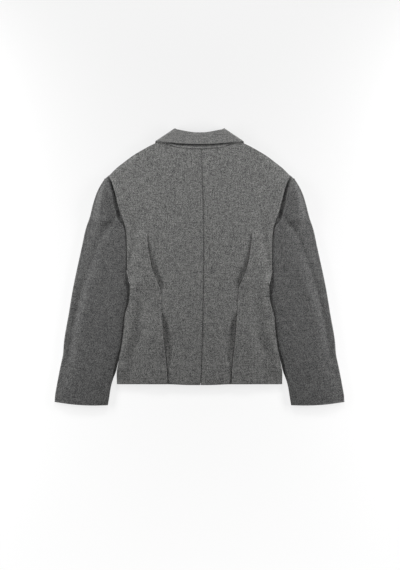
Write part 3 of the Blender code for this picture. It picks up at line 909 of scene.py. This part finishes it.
    def build(self, material: bpy.types.Material) -> bpy.types.Object:
        """Makes the back half in place of its solid.

        Args:
            material: the wool.

        Returns:
            The finished piece.
        """
        count = round((self.lean_y - self.hem_y) / self.pitch)
        levels = np.unique(np.concatenate((
            np.linspace(self.hem_y, self.lean_y, count + 1), self.hem_y + mm(0.6, 1.2, 2.0),
            self.hem_line_y + mm(-0.6, 0, 0.6, 1.2, 2))))
        rows = [self.row(float(y)) for y in levels]
        x = np.array([row[0] for row in rows])
        z = np.array([row[1] for row in rows])
        y = np.repeat(levels[:, None], x.shape[1], axis=1)
        shares = np.concatenate((np.linspace(0, 0.985, 46)[1:], (0.991, 0.996, 1.0)))[:, None]
        part = (x[-1] - x[-1, 0]) / (x[-1, -1] - x[-1, 0])
        top_x = self.seam_x(LAY.centre_seam["y"][-1])
        top_x = top_x + part * (LAY.armhole["x"][-1] - top_x)
        top_y = smooth_curve(LAY.neck_and_shoulder, "x", "y", top_x)
        lean_y = y[-1] + shares * (top_y - y[-1])
        lean_x = self.seam_x(lean_y[:, :1])
        lean_x = lean_x + part * (LAY.edge(lean_y[:, -1:]) - lean_x)
        lean_z = LAY.back_level(lean_x, lean_y)
        x, y, z = np.vstack((x, lean_x)), np.vstack((y, lean_y)), np.vstack((z, lean_z))
        z = np.maximum(z + self.relief(x, y), np.minimum(z, LAY.lowest_back))
        grain = grain_of(np.stack((x, y, z), axis=-1), y, x[:, 0], ring=False)
        y = y - self.hem_sag * ramp(y, self.sag_top_y, self.hem_y) * ramp(x, *self.sag_x)
        grid = np.stack((self.side.value * x, y, z), axis=-1)
        return laid_half(self.side, "back", grid, grain, material)


@dataclass
class Front:
    """Left or right front: closure edge, neck opening, shoulder, armhole and side seam."""

    side: Side
    hem_y: float = -0.3070
    closure_half: float = 0.0250
    pitch: float = 5.0 * MM
    across_steps: int = 44             # even points from the closure edge to the side
    lean_steps: int = 38               # rows from the foot of the neck to the shoulder
    hem_line: float = 0.12 * MM        # the stitched hem shows as a faint ridge,
    hem_depth: float = 0.040           # this far above the edge,
    hem_fade: float = 0.05             # which ends over this width at the side
    neck: Table = field(default_factory=lambda: table(
        "y x", (0.1643, -0.0250), (0.2300, 0.0130), (0.3000, 0.0560), (0.3350, 0.0920)))

    def build(self, material: bpy.types.Material) -> bpy.types.Object:
        """Makes the front in place of its solid.

        Args:
            material: the wool.

        Returns:
            The finished piece.
        """
        foot_y = float(self.neck["y"][0])
        count = round((foot_y - self.hem_y) / self.pitch)
        levels = np.concatenate((self.hem_y + mm(0.0, 0.8, 1.8),
                                 np.linspace(self.hem_y, foot_y, count + 1)[1:-1]))
        near = mm(0.0, 0.8, 2)
        across = np.array([spread(-self.closure_half, far, self.across_steps, near, near)
                           for far in LAY.edge(levels)])
        up = np.repeat(levels[:, None], across.shape[1], axis=1)
        shares = np.linspace(0, 1, self.lean_steps)[:, None]
        neck_y = foot_y + shares * (self.neck["y"][-1] - foot_y)
        neck_x = smooth_curve(self.neck, "y", "x", neck_y)
        arm_y = foot_y + shares * (LAY.tip_y - foot_y)
        columns = across[-1]
        part = (columns - columns[0]) / (columns[-1] - columns[0])
        lean_x = neck_x + part * (LAY.edge(arm_y) - neck_x)
        straight = neck_y + part * (arm_y - neck_y)
        shoulder = smooth_curve(LAY.neck_and_shoulder, "x", "y", lean_x[-1])
        lean_y = straight + shares * (shoulder - straight[-1])
        x, y = np.vstack((across, lean_x)), np.vstack((up, lean_y))
        z = LAY.front_level(x, y, self.side is Side.LEFT)
        hem = self.hem_line * hump(y, self.hem_y + self.hem_depth, 2 * MM)
        z = z + hem * ramp(LAY.edge(y) - x, 0.0, self.hem_fade)
        grain = grain_of(np.stack((x, y, z), axis=-1), y, x[:, 0], ring=False)
        grid = np.stack((self.side.value * x, y, z), axis=-1)
        return laid_half(self.side, "front", grid, grain, material)


@dataclass
class Sleeve:
    """A flattened tube, open at the cuff and, above the armpit, along the armhole."""

    side: Side
    pitch: float = 3.0 * MM
    crown: float = 4.8 * MM            # how much higher the middle of its top layer lies
    head_crown: float = 5.2 * MM       # more of it on the sleeve head
    full_width: float = 0.060          # where the sleeve is narrower, its crown is lower
    head_y: Pair = (0.100, 0.126)      # the sleeve head begins here
    under_body: float = 0.0080         # this much stays thin, under the body's edge,
    thin_y: Pair = (0.040, -0.030)     # below here,
    thin_loses: float = 0.6            # and this share less
    thin_less_y: Pair = (-0.130, -0.230)                   # below here
    beside: float = 2.0 * MM           # above the armpit the rise begins this far from the body
    beside_y: Pair = (0.010, 0.040)
    first_rise: float = 0.68           # share of the crown that it gains right beside the body
    first_y: Pair = (0.135, 0.095)
    first_width: float = 3.2 * MM
    head_rise: float = 0.50            # the same share on the sleeve head
    head_first_width: float = 3 * MM   # over this much more
    trough: float = 0.0100             # the sleeve head lies low beside the armhole for this width,
    trough_tip: float = 0.15           # and for this share of it at its tip
    rise_width: float = 0.0360
    rise_share: float = 0.62           # of the head's width, where that is less
    fall_width: float = 0.045
    fall_share: float = 0.30
    crease_fade: float = 0.020         # creases end over this width at both sides,
    head_fade: float = 0.006           # on the sleeve head over this beside the body
    wave: float = 0.14 * MM
    wave_seed: int = 5
    top_steps: int = 30                # even points across the top layer
    bottom_steps: int = 16             # and the bottom one
    turn_steps: int = 8                # and in each fold
    cuff_line: float = 0.0040          # the cuff's stitches lie this far from its edge,
    cuff_groove: float = 0.25 * MM     # and draw the cloth in by this
    cuff_sag: float = 3.9 * MM         # the cuff bows out in the middle by this,
    cuff_sag_y: Pair = (-0.330, -0.3657)                   # from nothing to all of it
    outer: Table = field(default_factory=lambda: table(
        "y x", (-0.3572, 0.3837), (-0.3432, 0.3829), (-0.3114, 0.3776), (-0.2637, 0.3684),
        (-0.2319, 0.3617), (-0.2001, 0.3591), (-0.1206, 0.3458), (-0.0570, 0.3352),
        (0.0066, 0.3220), (0.0543, 0.3114), (0.1020, 0.3008), (0.1338, 0.2902), (0.1656, 0.2822),
        (0.1974, 0.2716), (0.2133, 0.2637), (0.2292, 0.2531), (0.2370, 0.2449)))
    inner: Table = field(default_factory=lambda: table(
        "y x", (-0.3657, 0.2425), (-0.3420, 0.2385), (-0.3114, 0.2332), (-0.2940, 0.2279),
        (-0.2770, 0.2213), (-0.2518, 0.2152), (-0.2112, 0.2035), (-0.1707, 0.1955),
        (-0.1275, 0.1880), (-0.0900, 0.1805), (-0.0600, 0.1808), (-0.0450, 0.1855),
        (-0.0280, 0.1890), (-0.0106, 0.1925)))
    tilt: Table = field(default_factory=lambda: table(
        "y tilt", (-0.3657, 0.0085), (-0.2500, 0.0200), (-0.0106, 0.0150), (0.1300, 0.0050),
        (0.2412, -0.0042)))
    folds: Table = field(default_factory=lambda: table(
        CREASE_COLUMNS,
        (0.2160, 0.1350, 0.2530, 0.0930, 0.009, -0.0026),
        (0.2530, 0.0930, 0.2800, 0.0290, 0.010, -0.0031),
        (0.2800, 0.0290, 0.3110, -0.0610, 0.010, -0.0032),
        (0.3110, -0.0610, 0.3350, -0.1617, 0.011, -0.0031),
        (0.3350, -0.1617, 0.3460, -0.2360, 0.011, -0.0024),
        (0.2470, 0.2340, 0.2350, 0.1900, 0.003, 0.0026),
        (0.2620, 0.0000, 0.2950, -0.1100, 0.013, 0.0014)))

    def ring(self, y: float) -> tuple[np.ndarray, np.ndarray, np.ndarray]:
        """One row round the sleeve: along its top, its outer fold, its bottom and its inner fold.

        Args:
            y: where the row starts on the inner side.

        Returns:
            Its points' x, y and z.
        """
        is_tube = y <= LAY.armpit_y
        radius = LAY.sleeve_loop / 2
        inset = radius + LAY.half
        inner_x = smooth_curve(self.inner, "y", "x", y) if is_tube else LAY.edge(y) + LAY.seam_gap
        start_x = float(inner_x)
        end_y = y + float(smooth_curve(self.tilt, "y", "tilt", y))
        width = float(smooth_curve(self.outer, "y", "x", end_y)) - start_x
        begin, last = inset if is_tube else 0.0, width - inset
        near_body = mm(0, 0.5, 1.2, 2.2, 3.4, 4.8, 6.4, 8.2, 10.2, 12.4)
        top = spread(begin, last, self.top_steps, near_body, mm(0.0, 1, 2.4))
        bottom = np.linspace(last, begin, self.bottom_steps)
        turn = math.pi * np.arange(1, self.turn_steps) / self.turn_steps
        out, drop = radius * np.sin(turn), radius * (1 - np.cos(turn))
        top_z = self.top_layer(top, (start_x, y), (width, end_y - y), inset)
        distance = np.concatenate((top, last + out, bottom, begin - out[::-1]))
        height = np.concatenate((top_z, LAY.half + LAY.sleeve_loop - drop,
                                 np.full_like(bottom, LAY.half), LAY.half + drop))
        if not is_tube:
            distance[-len(out):] = begin
        bow = np.sin(math.pi * np.clip(distance / width, 0, 1))
        sag = self.cuff_sag * float(ramp(y, *self.cuff_sag_y)) * bow
        return start_x + distance, y + (end_y - y) * distance / width - sag, height

    def top_layer(self, top: np.ndarray, start: Pair, row: Pair, inset: float) -> np.ndarray:
        """How high the top layer lies along one row.

        Args:
            top: distances from the row's inner end.
            start: where that end is, x and y.
            row: how far the row runs from there across and along.
            inset: the width of the fold at the outer end.

        Returns:
            The height at each distance.
        """
        (start_x, y), (width, tilt) = start, row
        less = 1 - self.thin_loses * ramp(y, *self.thin_less_y)
        thin = self.under_body * float(ramp(y, *self.thin_y) * less)
        head = float(ramp(y, *self.head_y))
        tip = float(np.interp(y, (self.head_y[1], LAY.tip_y), (1.0, self.trough_tip)))
        low = thin + self.beside * float(ramp(y, *self.beside_y)) + self.trough * head * tip
        rise_width, fall_width = self.rise_width, self.fall_width
        rise_width += head * (min(rise_width, self.rise_share * (width - low)) - rise_width)
        fall_width += head * (min(fall_width, inset + self.fall_share * width) - fall_width)
        first = self.first_rise * float(ramp(y, *self.first_y)) + self.head_rise * head
        first_width = self.first_width + self.head_first_width * head
        rise = (first * ramp(top, low, low + first_width)
                + (1 - first) * ramp(top, low, low + rise_width))
        rise = rise * ramp(width - top, inset, fall_width)
        x, along = start_x + top, y + tilt * top / width
        inner_fade = self.crease_fade + (self.head_fade - self.crease_fade) * head
        edge_fade = (ramp(top, thin, thin + inner_fade)
                     * ramp(width - top, inset, self.crease_fade))
        fine_folds = edge_fade * (creases(self.folds, x, along) + slack(
            x, along, self.wave, self.wave_seed + self.side.number))
        crown = (self.crown + self.head_crown * head) * min(1.0, width / self.full_width)
        return LAY.half + LAY.sleeve_loop + crown * rise + fine_folds

    def build(self, material: bpy.types.Material) -> bpy.types.Object:
        """Makes the sleeve in place of its solid.

        Args:
            material: the wool.

        Returns:
            The finished piece.
        """
        cuff_y = float(self.inner["y"][0])
        tube = np.unique(np.concatenate((
            cuff_y + mm(0.0, 0.8, 1.8, 2.8, 3.4, 4.0, 4.6, 5.4),
            np.linspace(cuff_y + 8 * MM, LAY.armpit_y,
                        round((LAY.armpit_y - cuff_y) / self.pitch)))))
        head = np.linspace(LAY.armpit_y, LAY.tip_y, round((LAY.tip_y - LAY.armpit_y) / self.pitch))
        head[0] += 0.6 * MM
        levels = np.concatenate((tube, head))
        grid = np.stack([np.stack(self.ring(float(y)), axis=-1) for y in levels])
        groove = self.cuff_groove * hump(levels - cuff_y, self.cuff_line, 0.8 * MM)
        is_top = grid[..., 2] > LAY.half + LAY.sleeve_loop - 1e-6
        grid[..., 2] -= groove[:, None] * is_top
        grain = grain_of(grid, levels, grid[:, 0, 0] * 0.0, ring=True)
        grid[..., 0] *= self.side.value
        sheet = ClothSheet(f"sleeve_{self.side.label}_cloth", grid, grain, len(tube),
                           self.turn_steps - 1, cut_from=self.side.cut_from)
        return finished(sheet.build(material, faces_down=self.side is Side.LEFT),
                        "sleeve_" + self.side.label)


@dataclass
class Collar:
    """The stand sewn to the neck, and the fall that turns down over it and runs on below."""

    stand_inset: float = 0.0080
    stand_half: float = 0.0580
    neck_half: float = 0.0847
    under: float = 0.0560              # how far the collar runs on below, along the neck opening
    roll_drop: float = 1.2 * MM        # the fall bends down over the stand at the roll line
    edge_lift: float = 1.2 * MM        # its free edge stands off the stand by this much more
    seam_lift: float = 1.6 * MM        # the neck seam is pressed up on to the stand
    trench: float = 5.2 * MM           # the stand bends down below the fall's edge
    trench_offset: float = 0.3 * MM
    trench_width: float = 2.4 * MM
    lines: Table = field(default_factory=lambda: table(
        "roll_x roll_y free_x free_y", (0.0000, 0.3556, 0.0000, 0.3246),
        (0.0160, 0.3563, 0.0260, 0.3252), (0.0320, 0.3586, 0.0520, 0.3266),
        (0.0460, 0.3614, 0.0780, 0.3290)))
    roll_end: Pair = (0.0660, 0.3670)
    corner: Pair = (0.1155, 0.3340)
    roll_onward: Pair = (0.889, 0.458)
    free_onward: Pair = (0.938, 0.347)

    @property
    def stand_z(self) -> float:
        """Middle of the stand's wall, level with the back's neck edge."""
        return LAY.cloth + LAY.collar_rise + LAY.layer_gap + LAY.half

    @property
    def fall_z(self) -> float:
        """Middle of the fall's wall."""
        return self.stand_z + LAY.cloth + 0.35 * MM

    def build_stand(self, material: bpy.types.Material) -> bpy.types.Object:
        """Makes the stand in place of its solid.

        Args:
            material: the wool of the collar.

        Returns:
            The finished piece.
        """
        low_x = np.linspace(-self.neck_half, self.neck_half, 55)
        low_y = smooth_curve(LAY.neck_and_shoulder, "x", "y", np.abs(low_x)) + LAY.seam_gap
        high_x = low_x * self.stand_half / self.neck_half
        roll = smooth_curve(self.lines, "roll_x", "roll_y", np.abs(high_x))
        shares = np.concatenate(((0.0, 0.02, 0.05), np.linspace(0.09, 0.66, 16),
                                 (0.76, 0.88, 1.0)))[:, None]
        x = low_x + shares * (high_x - low_x)
        y = low_y + shares * (roll - self.stand_inset - low_y)
        free_y = smooth_curve(self.lines, "free_x", "free_y", np.abs(x))
        trench = hump(y - free_y, self.trench_offset, self.trench_width) * np.interp(
            np.abs(x), (0.050, 0.072), (self.trench, 0.5 * self.trench))
        z = self.stand_z - trench + self.seam_lift * ramp(y - low_y, 6 * MM, 0.0)
        grid = np.stack((x, y, z), axis=-1)
        sheet = ClothSheet("collar_stand_cloth", grid, grain_of(grid, y, x[:, 0], ring=False))
        return finished(sheet.build(material, faces_down=False), "collar_stand")

    def build_fall(self, material: bpy.types.Material) -> bpy.types.Object:
        """Makes the fall in place of its solid.

        The fall is laid out flat, then folded at each side of the neck about the line from
        the end of its roll to its corner.

        Args:
            material: the wool of the collar.

        Returns:
            The finished piece.
        """
        roll_end, corner = np.array(self.roll_end), np.array(self.corner)
        along = (corner - roll_end) / np.linalg.norm(corner - roll_end)
        outward = np.array((-along[1], along[0]))
        radius = (self.fall_z - LAY.half) / 2
        axis = -(radius + LAY.half)
        arc = math.pi * radius
        places = np.concatenate((axis + arc * np.linspace(0, 1, 13),
                                 axis + arc + self.under * np.linspace(0, 1, 16)[1:]))
        roll_on, free_on = np.array(self.roll_onward), np.array(self.free_onward)
        roll_past = [roll_end + place * roll_on / roll_on.dot(outward) for place in places]
        free_past = [corner + place * free_on / free_on.dot(outward) for place in places]
        ends = {"roll_x": roll_past[0][0], "roll_y": roll_past[0][1], "free_x": free_past[0][0],
                "free_y": free_past[0][1]}
        lines = {name: np.append(values, ends[name]) for name, values in self.lines.items()}
        across_back = np.linspace(0, ends["roll_x"], 34)[:-1]
        roll = [np.array((at, smooth_curve(lines, "roll_x", "roll_y", at))) for at in across_back]
        free = [np.array([smooth_curve(lines, "roll_x", name, at) for name in ("free_x", "free_y")])
                for at in across_back]
        roll, free = roll + roll_past, free + free_past
        shares = np.concatenate(((0, 0.01, 0.025, 0.05), np.linspace(0.09, 0.91, 14),
                                 (0.95, 0.98, 1.0)))
        roll, free = np.array(roll)[:, None], np.array(free)[:, None]
        flat = free + shares[None, :, None] * (roll - free)
        place = (flat - roll_end) @ outward
        turn = np.clip((place - axis) / radius, 0.0, math.pi)
        beyond = np.maximum(place - axis - arc, 0.0)
        moved = np.minimum(place, axis) + radius * np.sin(turn) - beyond
        plan = flat + (moved - place)[..., None] * outward
        on_back = ramp(place, axis, axis - 0.020)
        bend = self.roll_drop * ramp(shares[None, :], 0.80, 1.0) * on_back
        lift = self.edge_lift * ramp(shares[None, :], 0.45, 0.0) * on_back
        tuck = 0.35 * MM * ramp(shares[None, :], 0.05, 0.0) * on_back
        z = self.fall_z - radius * (1 - np.cos(turn)) - bend + lift - tuck
        half = np.concatenate((plan, z[..., None]), axis=-1)
        mirrored = half[:0:-1] * np.array((-1.0, 1.0, 1.0))
        grid = np.concatenate((mirrored, half))
        steps = np.linalg.norm(np.diff(grid[:, 0], axis=0), axis=-1)
        across = np.cumsum(np.concatenate(((0.0,), steps)))
        width = np.linalg.norm(roll - free, axis=-1)
        width = np.concatenate((width[:0:-1], width))
        grain = np.stack((np.repeat(across[:, None], len(shares), axis=1), width * shares), axis=-1)
        grain = np.concatenate((grain, grain[:, -1:]), axis=1)
        sheet = ClothSheet("collar_fall_cloth", grid, grain)
        return finished(sheet.build(material, faces_down=False), "collar_fall")


@dataclass
class StitchTree:
    """A Geometry Nodes tree that sews a row of stitches along a line."""

    name: str = "row_of_stitches"

    def build(self) -> bpy.types.NodeTree:
        """Makes the tree: a thread for every step along the line, turned to follow it.

        Returns:
            The tree, with named inputs for its sizes.
        """
        tree = bpy.data.node_groups.new(self.name, "GeometryNodeTree")
        face = tree.interface
        face.new_socket("Geometry", in_out="INPUT", socket_type="NodeSocketGeometry")
        for label, start in (("Stitch length", 2.4 * MM), ("Step", 3.0 * MM),
                             ("Thread", 0.45 * MM), ("Unevenness", 0.12)):
            socket = face.new_socket(label, in_out="INPUT", socket_type="NodeSocketFloat")
            socket.default_value = start
        socket = face.new_socket("Seed", in_out="INPUT", socket_type="NodeSocketInt")
        socket.default_value = FIRST_STITCH_SEED
        face.new_socket("Finish", in_out="INPUT", socket_type="NodeSocketMaterial")
        face.new_socket("Geometry", in_out="OUTPUT", socket_type="NodeSocketGeometry")
        given = add_node(tree, "NodeGroupInput", {})
        line = add_node(tree, "GeometryNodeMeshToCurve", {}, {"Mesh": given.outputs["Geometry"]})
        steps = add_node(tree, "GeometryNodeCurveToPoints", {"mode": "LENGTH"}, {
            "Curve": line.outputs[0], "Length": given.outputs["Step"]})
        half = add_math(tree, "MULTIPLY", given.outputs["Thread"], 0.5)
        thread = add_node(tree, "GeometryNodeMeshUVSphere", {}, {
            "Segments": 6, "Rings": 5, "Radius": half})
        longer = add_math(tree, "DIVIDE", given.outputs["Stitch length"], given.outputs["Thread"])
        size = add_node(tree, "ShaderNodeCombineXYZ", {}, {"X": 1.0, "Y": 1.0, "Z": longer})
        uneven = add_node(tree, "FunctionNodeRandomValue", {"data_type": "FLOAT"}, {
            2: add_math(tree, "SUBTRACT", 1.0, given.outputs["Unevenness"]),
            3: add_math(tree, "ADD", 1.0, given.outputs["Unevenness"]),
            "Seed": given.outputs["Seed"]})
        varied = add_node(tree, "ShaderNodeVectorMath", {"operation": "SCALE"}, {
            0: size.outputs[0], "Scale": uneven.outputs[1]})
        sewn = add_node(tree, "GeometryNodeInstanceOnPoints", {}, {
            "Points": steps.outputs["Points"], "Instance": thread.outputs["Mesh"],
            "Rotation": steps.outputs["Rotation"], "Scale": varied.outputs[0]})
        real = add_node(tree, "GeometryNodeRealizeInstances", {}, {"Geometry": sewn.outputs[0]})
        dressed = add_node(tree, "GeometryNodeSetMaterial", {}, {
            "Geometry": real.outputs[0], "Material": given.outputs["Finish"]})
        add_node(tree, "NodeGroupOutput", {}, {"Geometry": dressed.outputs[0]})
        return tree


@dataclass
class Stitching:
    """Rows of stitches on the wool, each laid on the piece that it is sewn through."""

    tree: bpy.types.NodeTree
    thread: bpy.types.Material
    diameter: float = 0.45 * MM
    proud: float = 0.1                 # share of it that a stitch's middle stands above the wool
    ray_z: float = 0.1                 # above the whole jacket

    def sew(self, name: str, paths: list[np.ndarray], cloth: bpy.types.Object, length: float,
            step: float, seed: int) -> bpy.types.Object:
        """Sews rows of stitches along paths seen from above.

        Args:
            name: the new piece's name.
            paths: (points, 2) places in plan, one array for each row of stitches.
            cloth: the piece that the rows lie on.
            length: one stitch's length.
            step: from one stitch to the next.
            seed: picks the stitches' unevenness.

        Returns:
            The stitches as one plain mesh.
        """
        wool = BVHTree.FromObject(cloth, bpy.context.evaluated_depsgraph_get())
        points, edges = [], []
        for path in paths:
            previous = -1
            for x, y in path:
                hit = wool.ray_cast(Vector((x, y, self.ray_z)), Vector((0, 0, -1)))[0]
                if hit is None:
                    previous = -1
                    continue
                points.append((x, y, hit.z + self.proud * self.diameter))
                if previous >= 0:
                    edges.append((previous, len(points) - 1))
                previous = len(points) - 1
        mesh = bpy.data.meshes.new(name)
        mesh.from_pydata(points, edges, [])
        piece = add_object(name, mesh)
        nodes = piece.modifiers.new("stitches", "NODES")
        nodes.node_group = self.tree
        values = {"Stitch length": length, "Step": step, "Thread": self.diameter, "Seed": seed,
                  "Finish": self.thread}
        for item in self.tree.interface.items_tree:
            if item.in_out == "INPUT" and item.name in values:
                nodes[item.identifier] = values[item.name]
        graph = bpy.context.evaluated_depsgraph_get()
        made = bpy.data.meshes.new_from_object(piece.evaluated_get(graph))
        piece.modifiers.clear()
        piece.data = made
        piece.data.shade_smooth()
        bpy.data.meshes.remove(mesh)
        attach(piece, "root")
        LOG.info("%s: %d faces", name, len(made.polygons))
        return piece


def finished(piece: bpy.types.Object, node: str) -> bpy.types.Object:
    """Puts a cloth piece in the place of its solid and hides the solid.

    Args:
        piece: the cloth piece.
        node: the solid that it stands for.

    Returns:
        The same piece.
    """
    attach(piece, "root")
    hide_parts(node)
    return piece


def laid_half(side: Side, part: str, grid: np.ndarray, grain: np.ndarray,
              material: bpy.types.Material) -> bpy.types.Object:
    """Makes one side's back or front, laid flat.

    Args:
        side: the wearer's side.
        part: "back" or "front".
        grid: the sheet's points.
        grain: where they lay on the flat cloth.
        material: the wool.

    Returns:
        The finished piece.
    """
    node = f"{part}_{side.label}"
    sheet = ClothSheet(node + "_cloth", grid, grain, cut_from=side.cut_from)
    piece = sheet.build(material, faces_down=side is Side.LEFT)
    return finished(piece, node)


@dataclass(frozen=True)
class SoftBox:
    """One soft light that looks at the middle of the jacket."""

    name: str
    bearing: float                     # degrees from +Y, clockwise seen from above
    elevation: float                   # degrees above the table
    distance: float
    size: tuple[float, float]
    power: float

    @property
    def place(self) -> Vector:
        """Where the light stands.

        Returns:
            Its place in metres.
        """
        bearing, elevation = math.radians(self.bearing), math.radians(self.elevation)
        level = math.cos(elevation)
        return self.distance * Vector((math.sin(bearing) * level, math.cos(bearing) * level,
                                       math.sin(elevation)))

    def build(self) -> bpy.types.Object:
        """Puts the light in the scene, turned to the jacket.

        Returns:
            The light.
        """
        light = bpy.data.lights.new(self.name, "AREA")
        light.shape = "RECTANGLE"
        light.size, light.size_y = self.size
        light.energy = self.power
        lamp = add_object(self.name, light)
        lamp.location = self.place
        lamp.rotation_euler = (-self.place).to_track_quat("-Z", "Y").to_euler()
        return lamp


@dataclass
class Studio:
    """Floor, lights and the camera that looks straight down, as in the photo."""

    photo_height: float = 1.5105       # what the photo's long side covers on the floor
    aim: tuple[float, float] = (0.0013, -0.0477)
    lens: float = 100.0
    sensor: float = 36.0
    floor_z: float = -0.2 * MM
    floor_half: float = 9.0
    clip_end: float = 20.0
    ambient: float = 0.03
    boxes: tuple[SoftBox, ...] = (
        SoftBox("softbox_collar_side", 0.0, 24.0, 1.7, (0.6, 0.3), 22.5),
        SoftBox("softbox_left", -83.0, 16.0, 1.1, (1.2, 0.16), 16.2),
        SoftBox("softbox_right", 83.0, 16.0, 1.1, (1.2, 0.16), 16.2),
        SoftBox("softbox_above", 0.0, 88.0, 0.9, (0.12, 1.0), 0.7))

    def build(self) -> None:
        """Builds the whole studio.

        The table top comes first, then the lamps, the room and the camera.
        """
        self.build_floor()
        for box in self.boxes:
            box.build()
        self.build_ambient()
        self.build_camera()

    def build_floor(self) -> bpy.types.Object:
        """Lays the table top just under the jacket.

        Returns:
            The floor.
        """
        far = self.floor_half
        corners = [(x, y, self.floor_z)
                   for x, y in ((-far, -far), (far, -far), (far, far), (-far, far))]
        mesh = bpy.data.meshes.new("floor")
        mesh.from_pydata(corners, [], [(0, 1, 2, 3)])
        mesh.materials.append(OpalTable().dress())
        floor = add_object("floor", mesh)
        return floor

    def build_ambient(self) -> None:
        """Fills the room with a little even light.

        It comes from the world, so it reaches under every fold.
        """
        world = bpy.data.worlds.new("studio_walls")
        world.use_nodes = True
        sky = world.node_tree.nodes["Background"]
        sky.inputs["Color"].default_value = linear("#FFFFFF")
        sky.inputs["Strength"].default_value = self.ambient
        bpy.context.scene.world = world

    def build_camera(self) -> bpy.types.Object:
        """Makes the camera.

        Returns:
            The camera, straight above the point that the photo is centred on.
        """
        lens = bpy.data.cameras.new("camera")
        lens.lens, lens.sensor_width = self.lens, self.sensor
        lens.clip_end = self.clip_end
        camera = add_object("camera", lens)
        distance = self.lens / self.sensor * self.photo_height
        camera.location = (self.aim[0], self.aim[1], distance)
        bpy.context.scene.camera = camera
        bpy.context.scene.view_settings.view_transform = "Standard"
        return camera


def main() -> None:
    """Builds every piece of the jacket and the studio.
    """
    logging.basicConfig(level=logging.INFO, format="%(message)s")
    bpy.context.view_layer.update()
    wool = WoolFlannel().dress()
    # the sleeves get a darker copy of the same wool: painted shade, for the light that falls off
    # towards them
    sleeve_wool_painted_shade = WoolFlannel(name="wool_flannel_sleeves_painted_shade", dark="#262627", middle="#4B4B4B",
                              pale="#6A6A69").dress()
    collar_wool = WoolFlannel(name="wool_flannel_pressed", dark="#383839", middle="#616160").dress()
    backs = {side: BackHalf(side) for side in Side}
    cloths = {}
    for side, back in backs.items():
        cloths["back", side] = back.build(wool)
        cloths["front", side] = Front(side).build(wool)
        cloths["sleeve", side] = Sleeve(side).build(sleeve_wool_painted_shade)
    collar = Collar()
    collar.build_stand(collar_wool)
    collar.build_fall(collar_wool)
    stitching = Stitching(StitchTree().build(), PolyesterThread().dress())
    for side, back in backs.items():
        for number, (kind, (paths, length, step)) in enumerate(back.stitch_lines().items()):
            stitching.sew(f"{kind}_{side.label}", paths, cloths["back", side], length, step,
                          FIRST_STITCH_SEED + number)
    Studio().build()


if __name__ == "__main__":
    main()
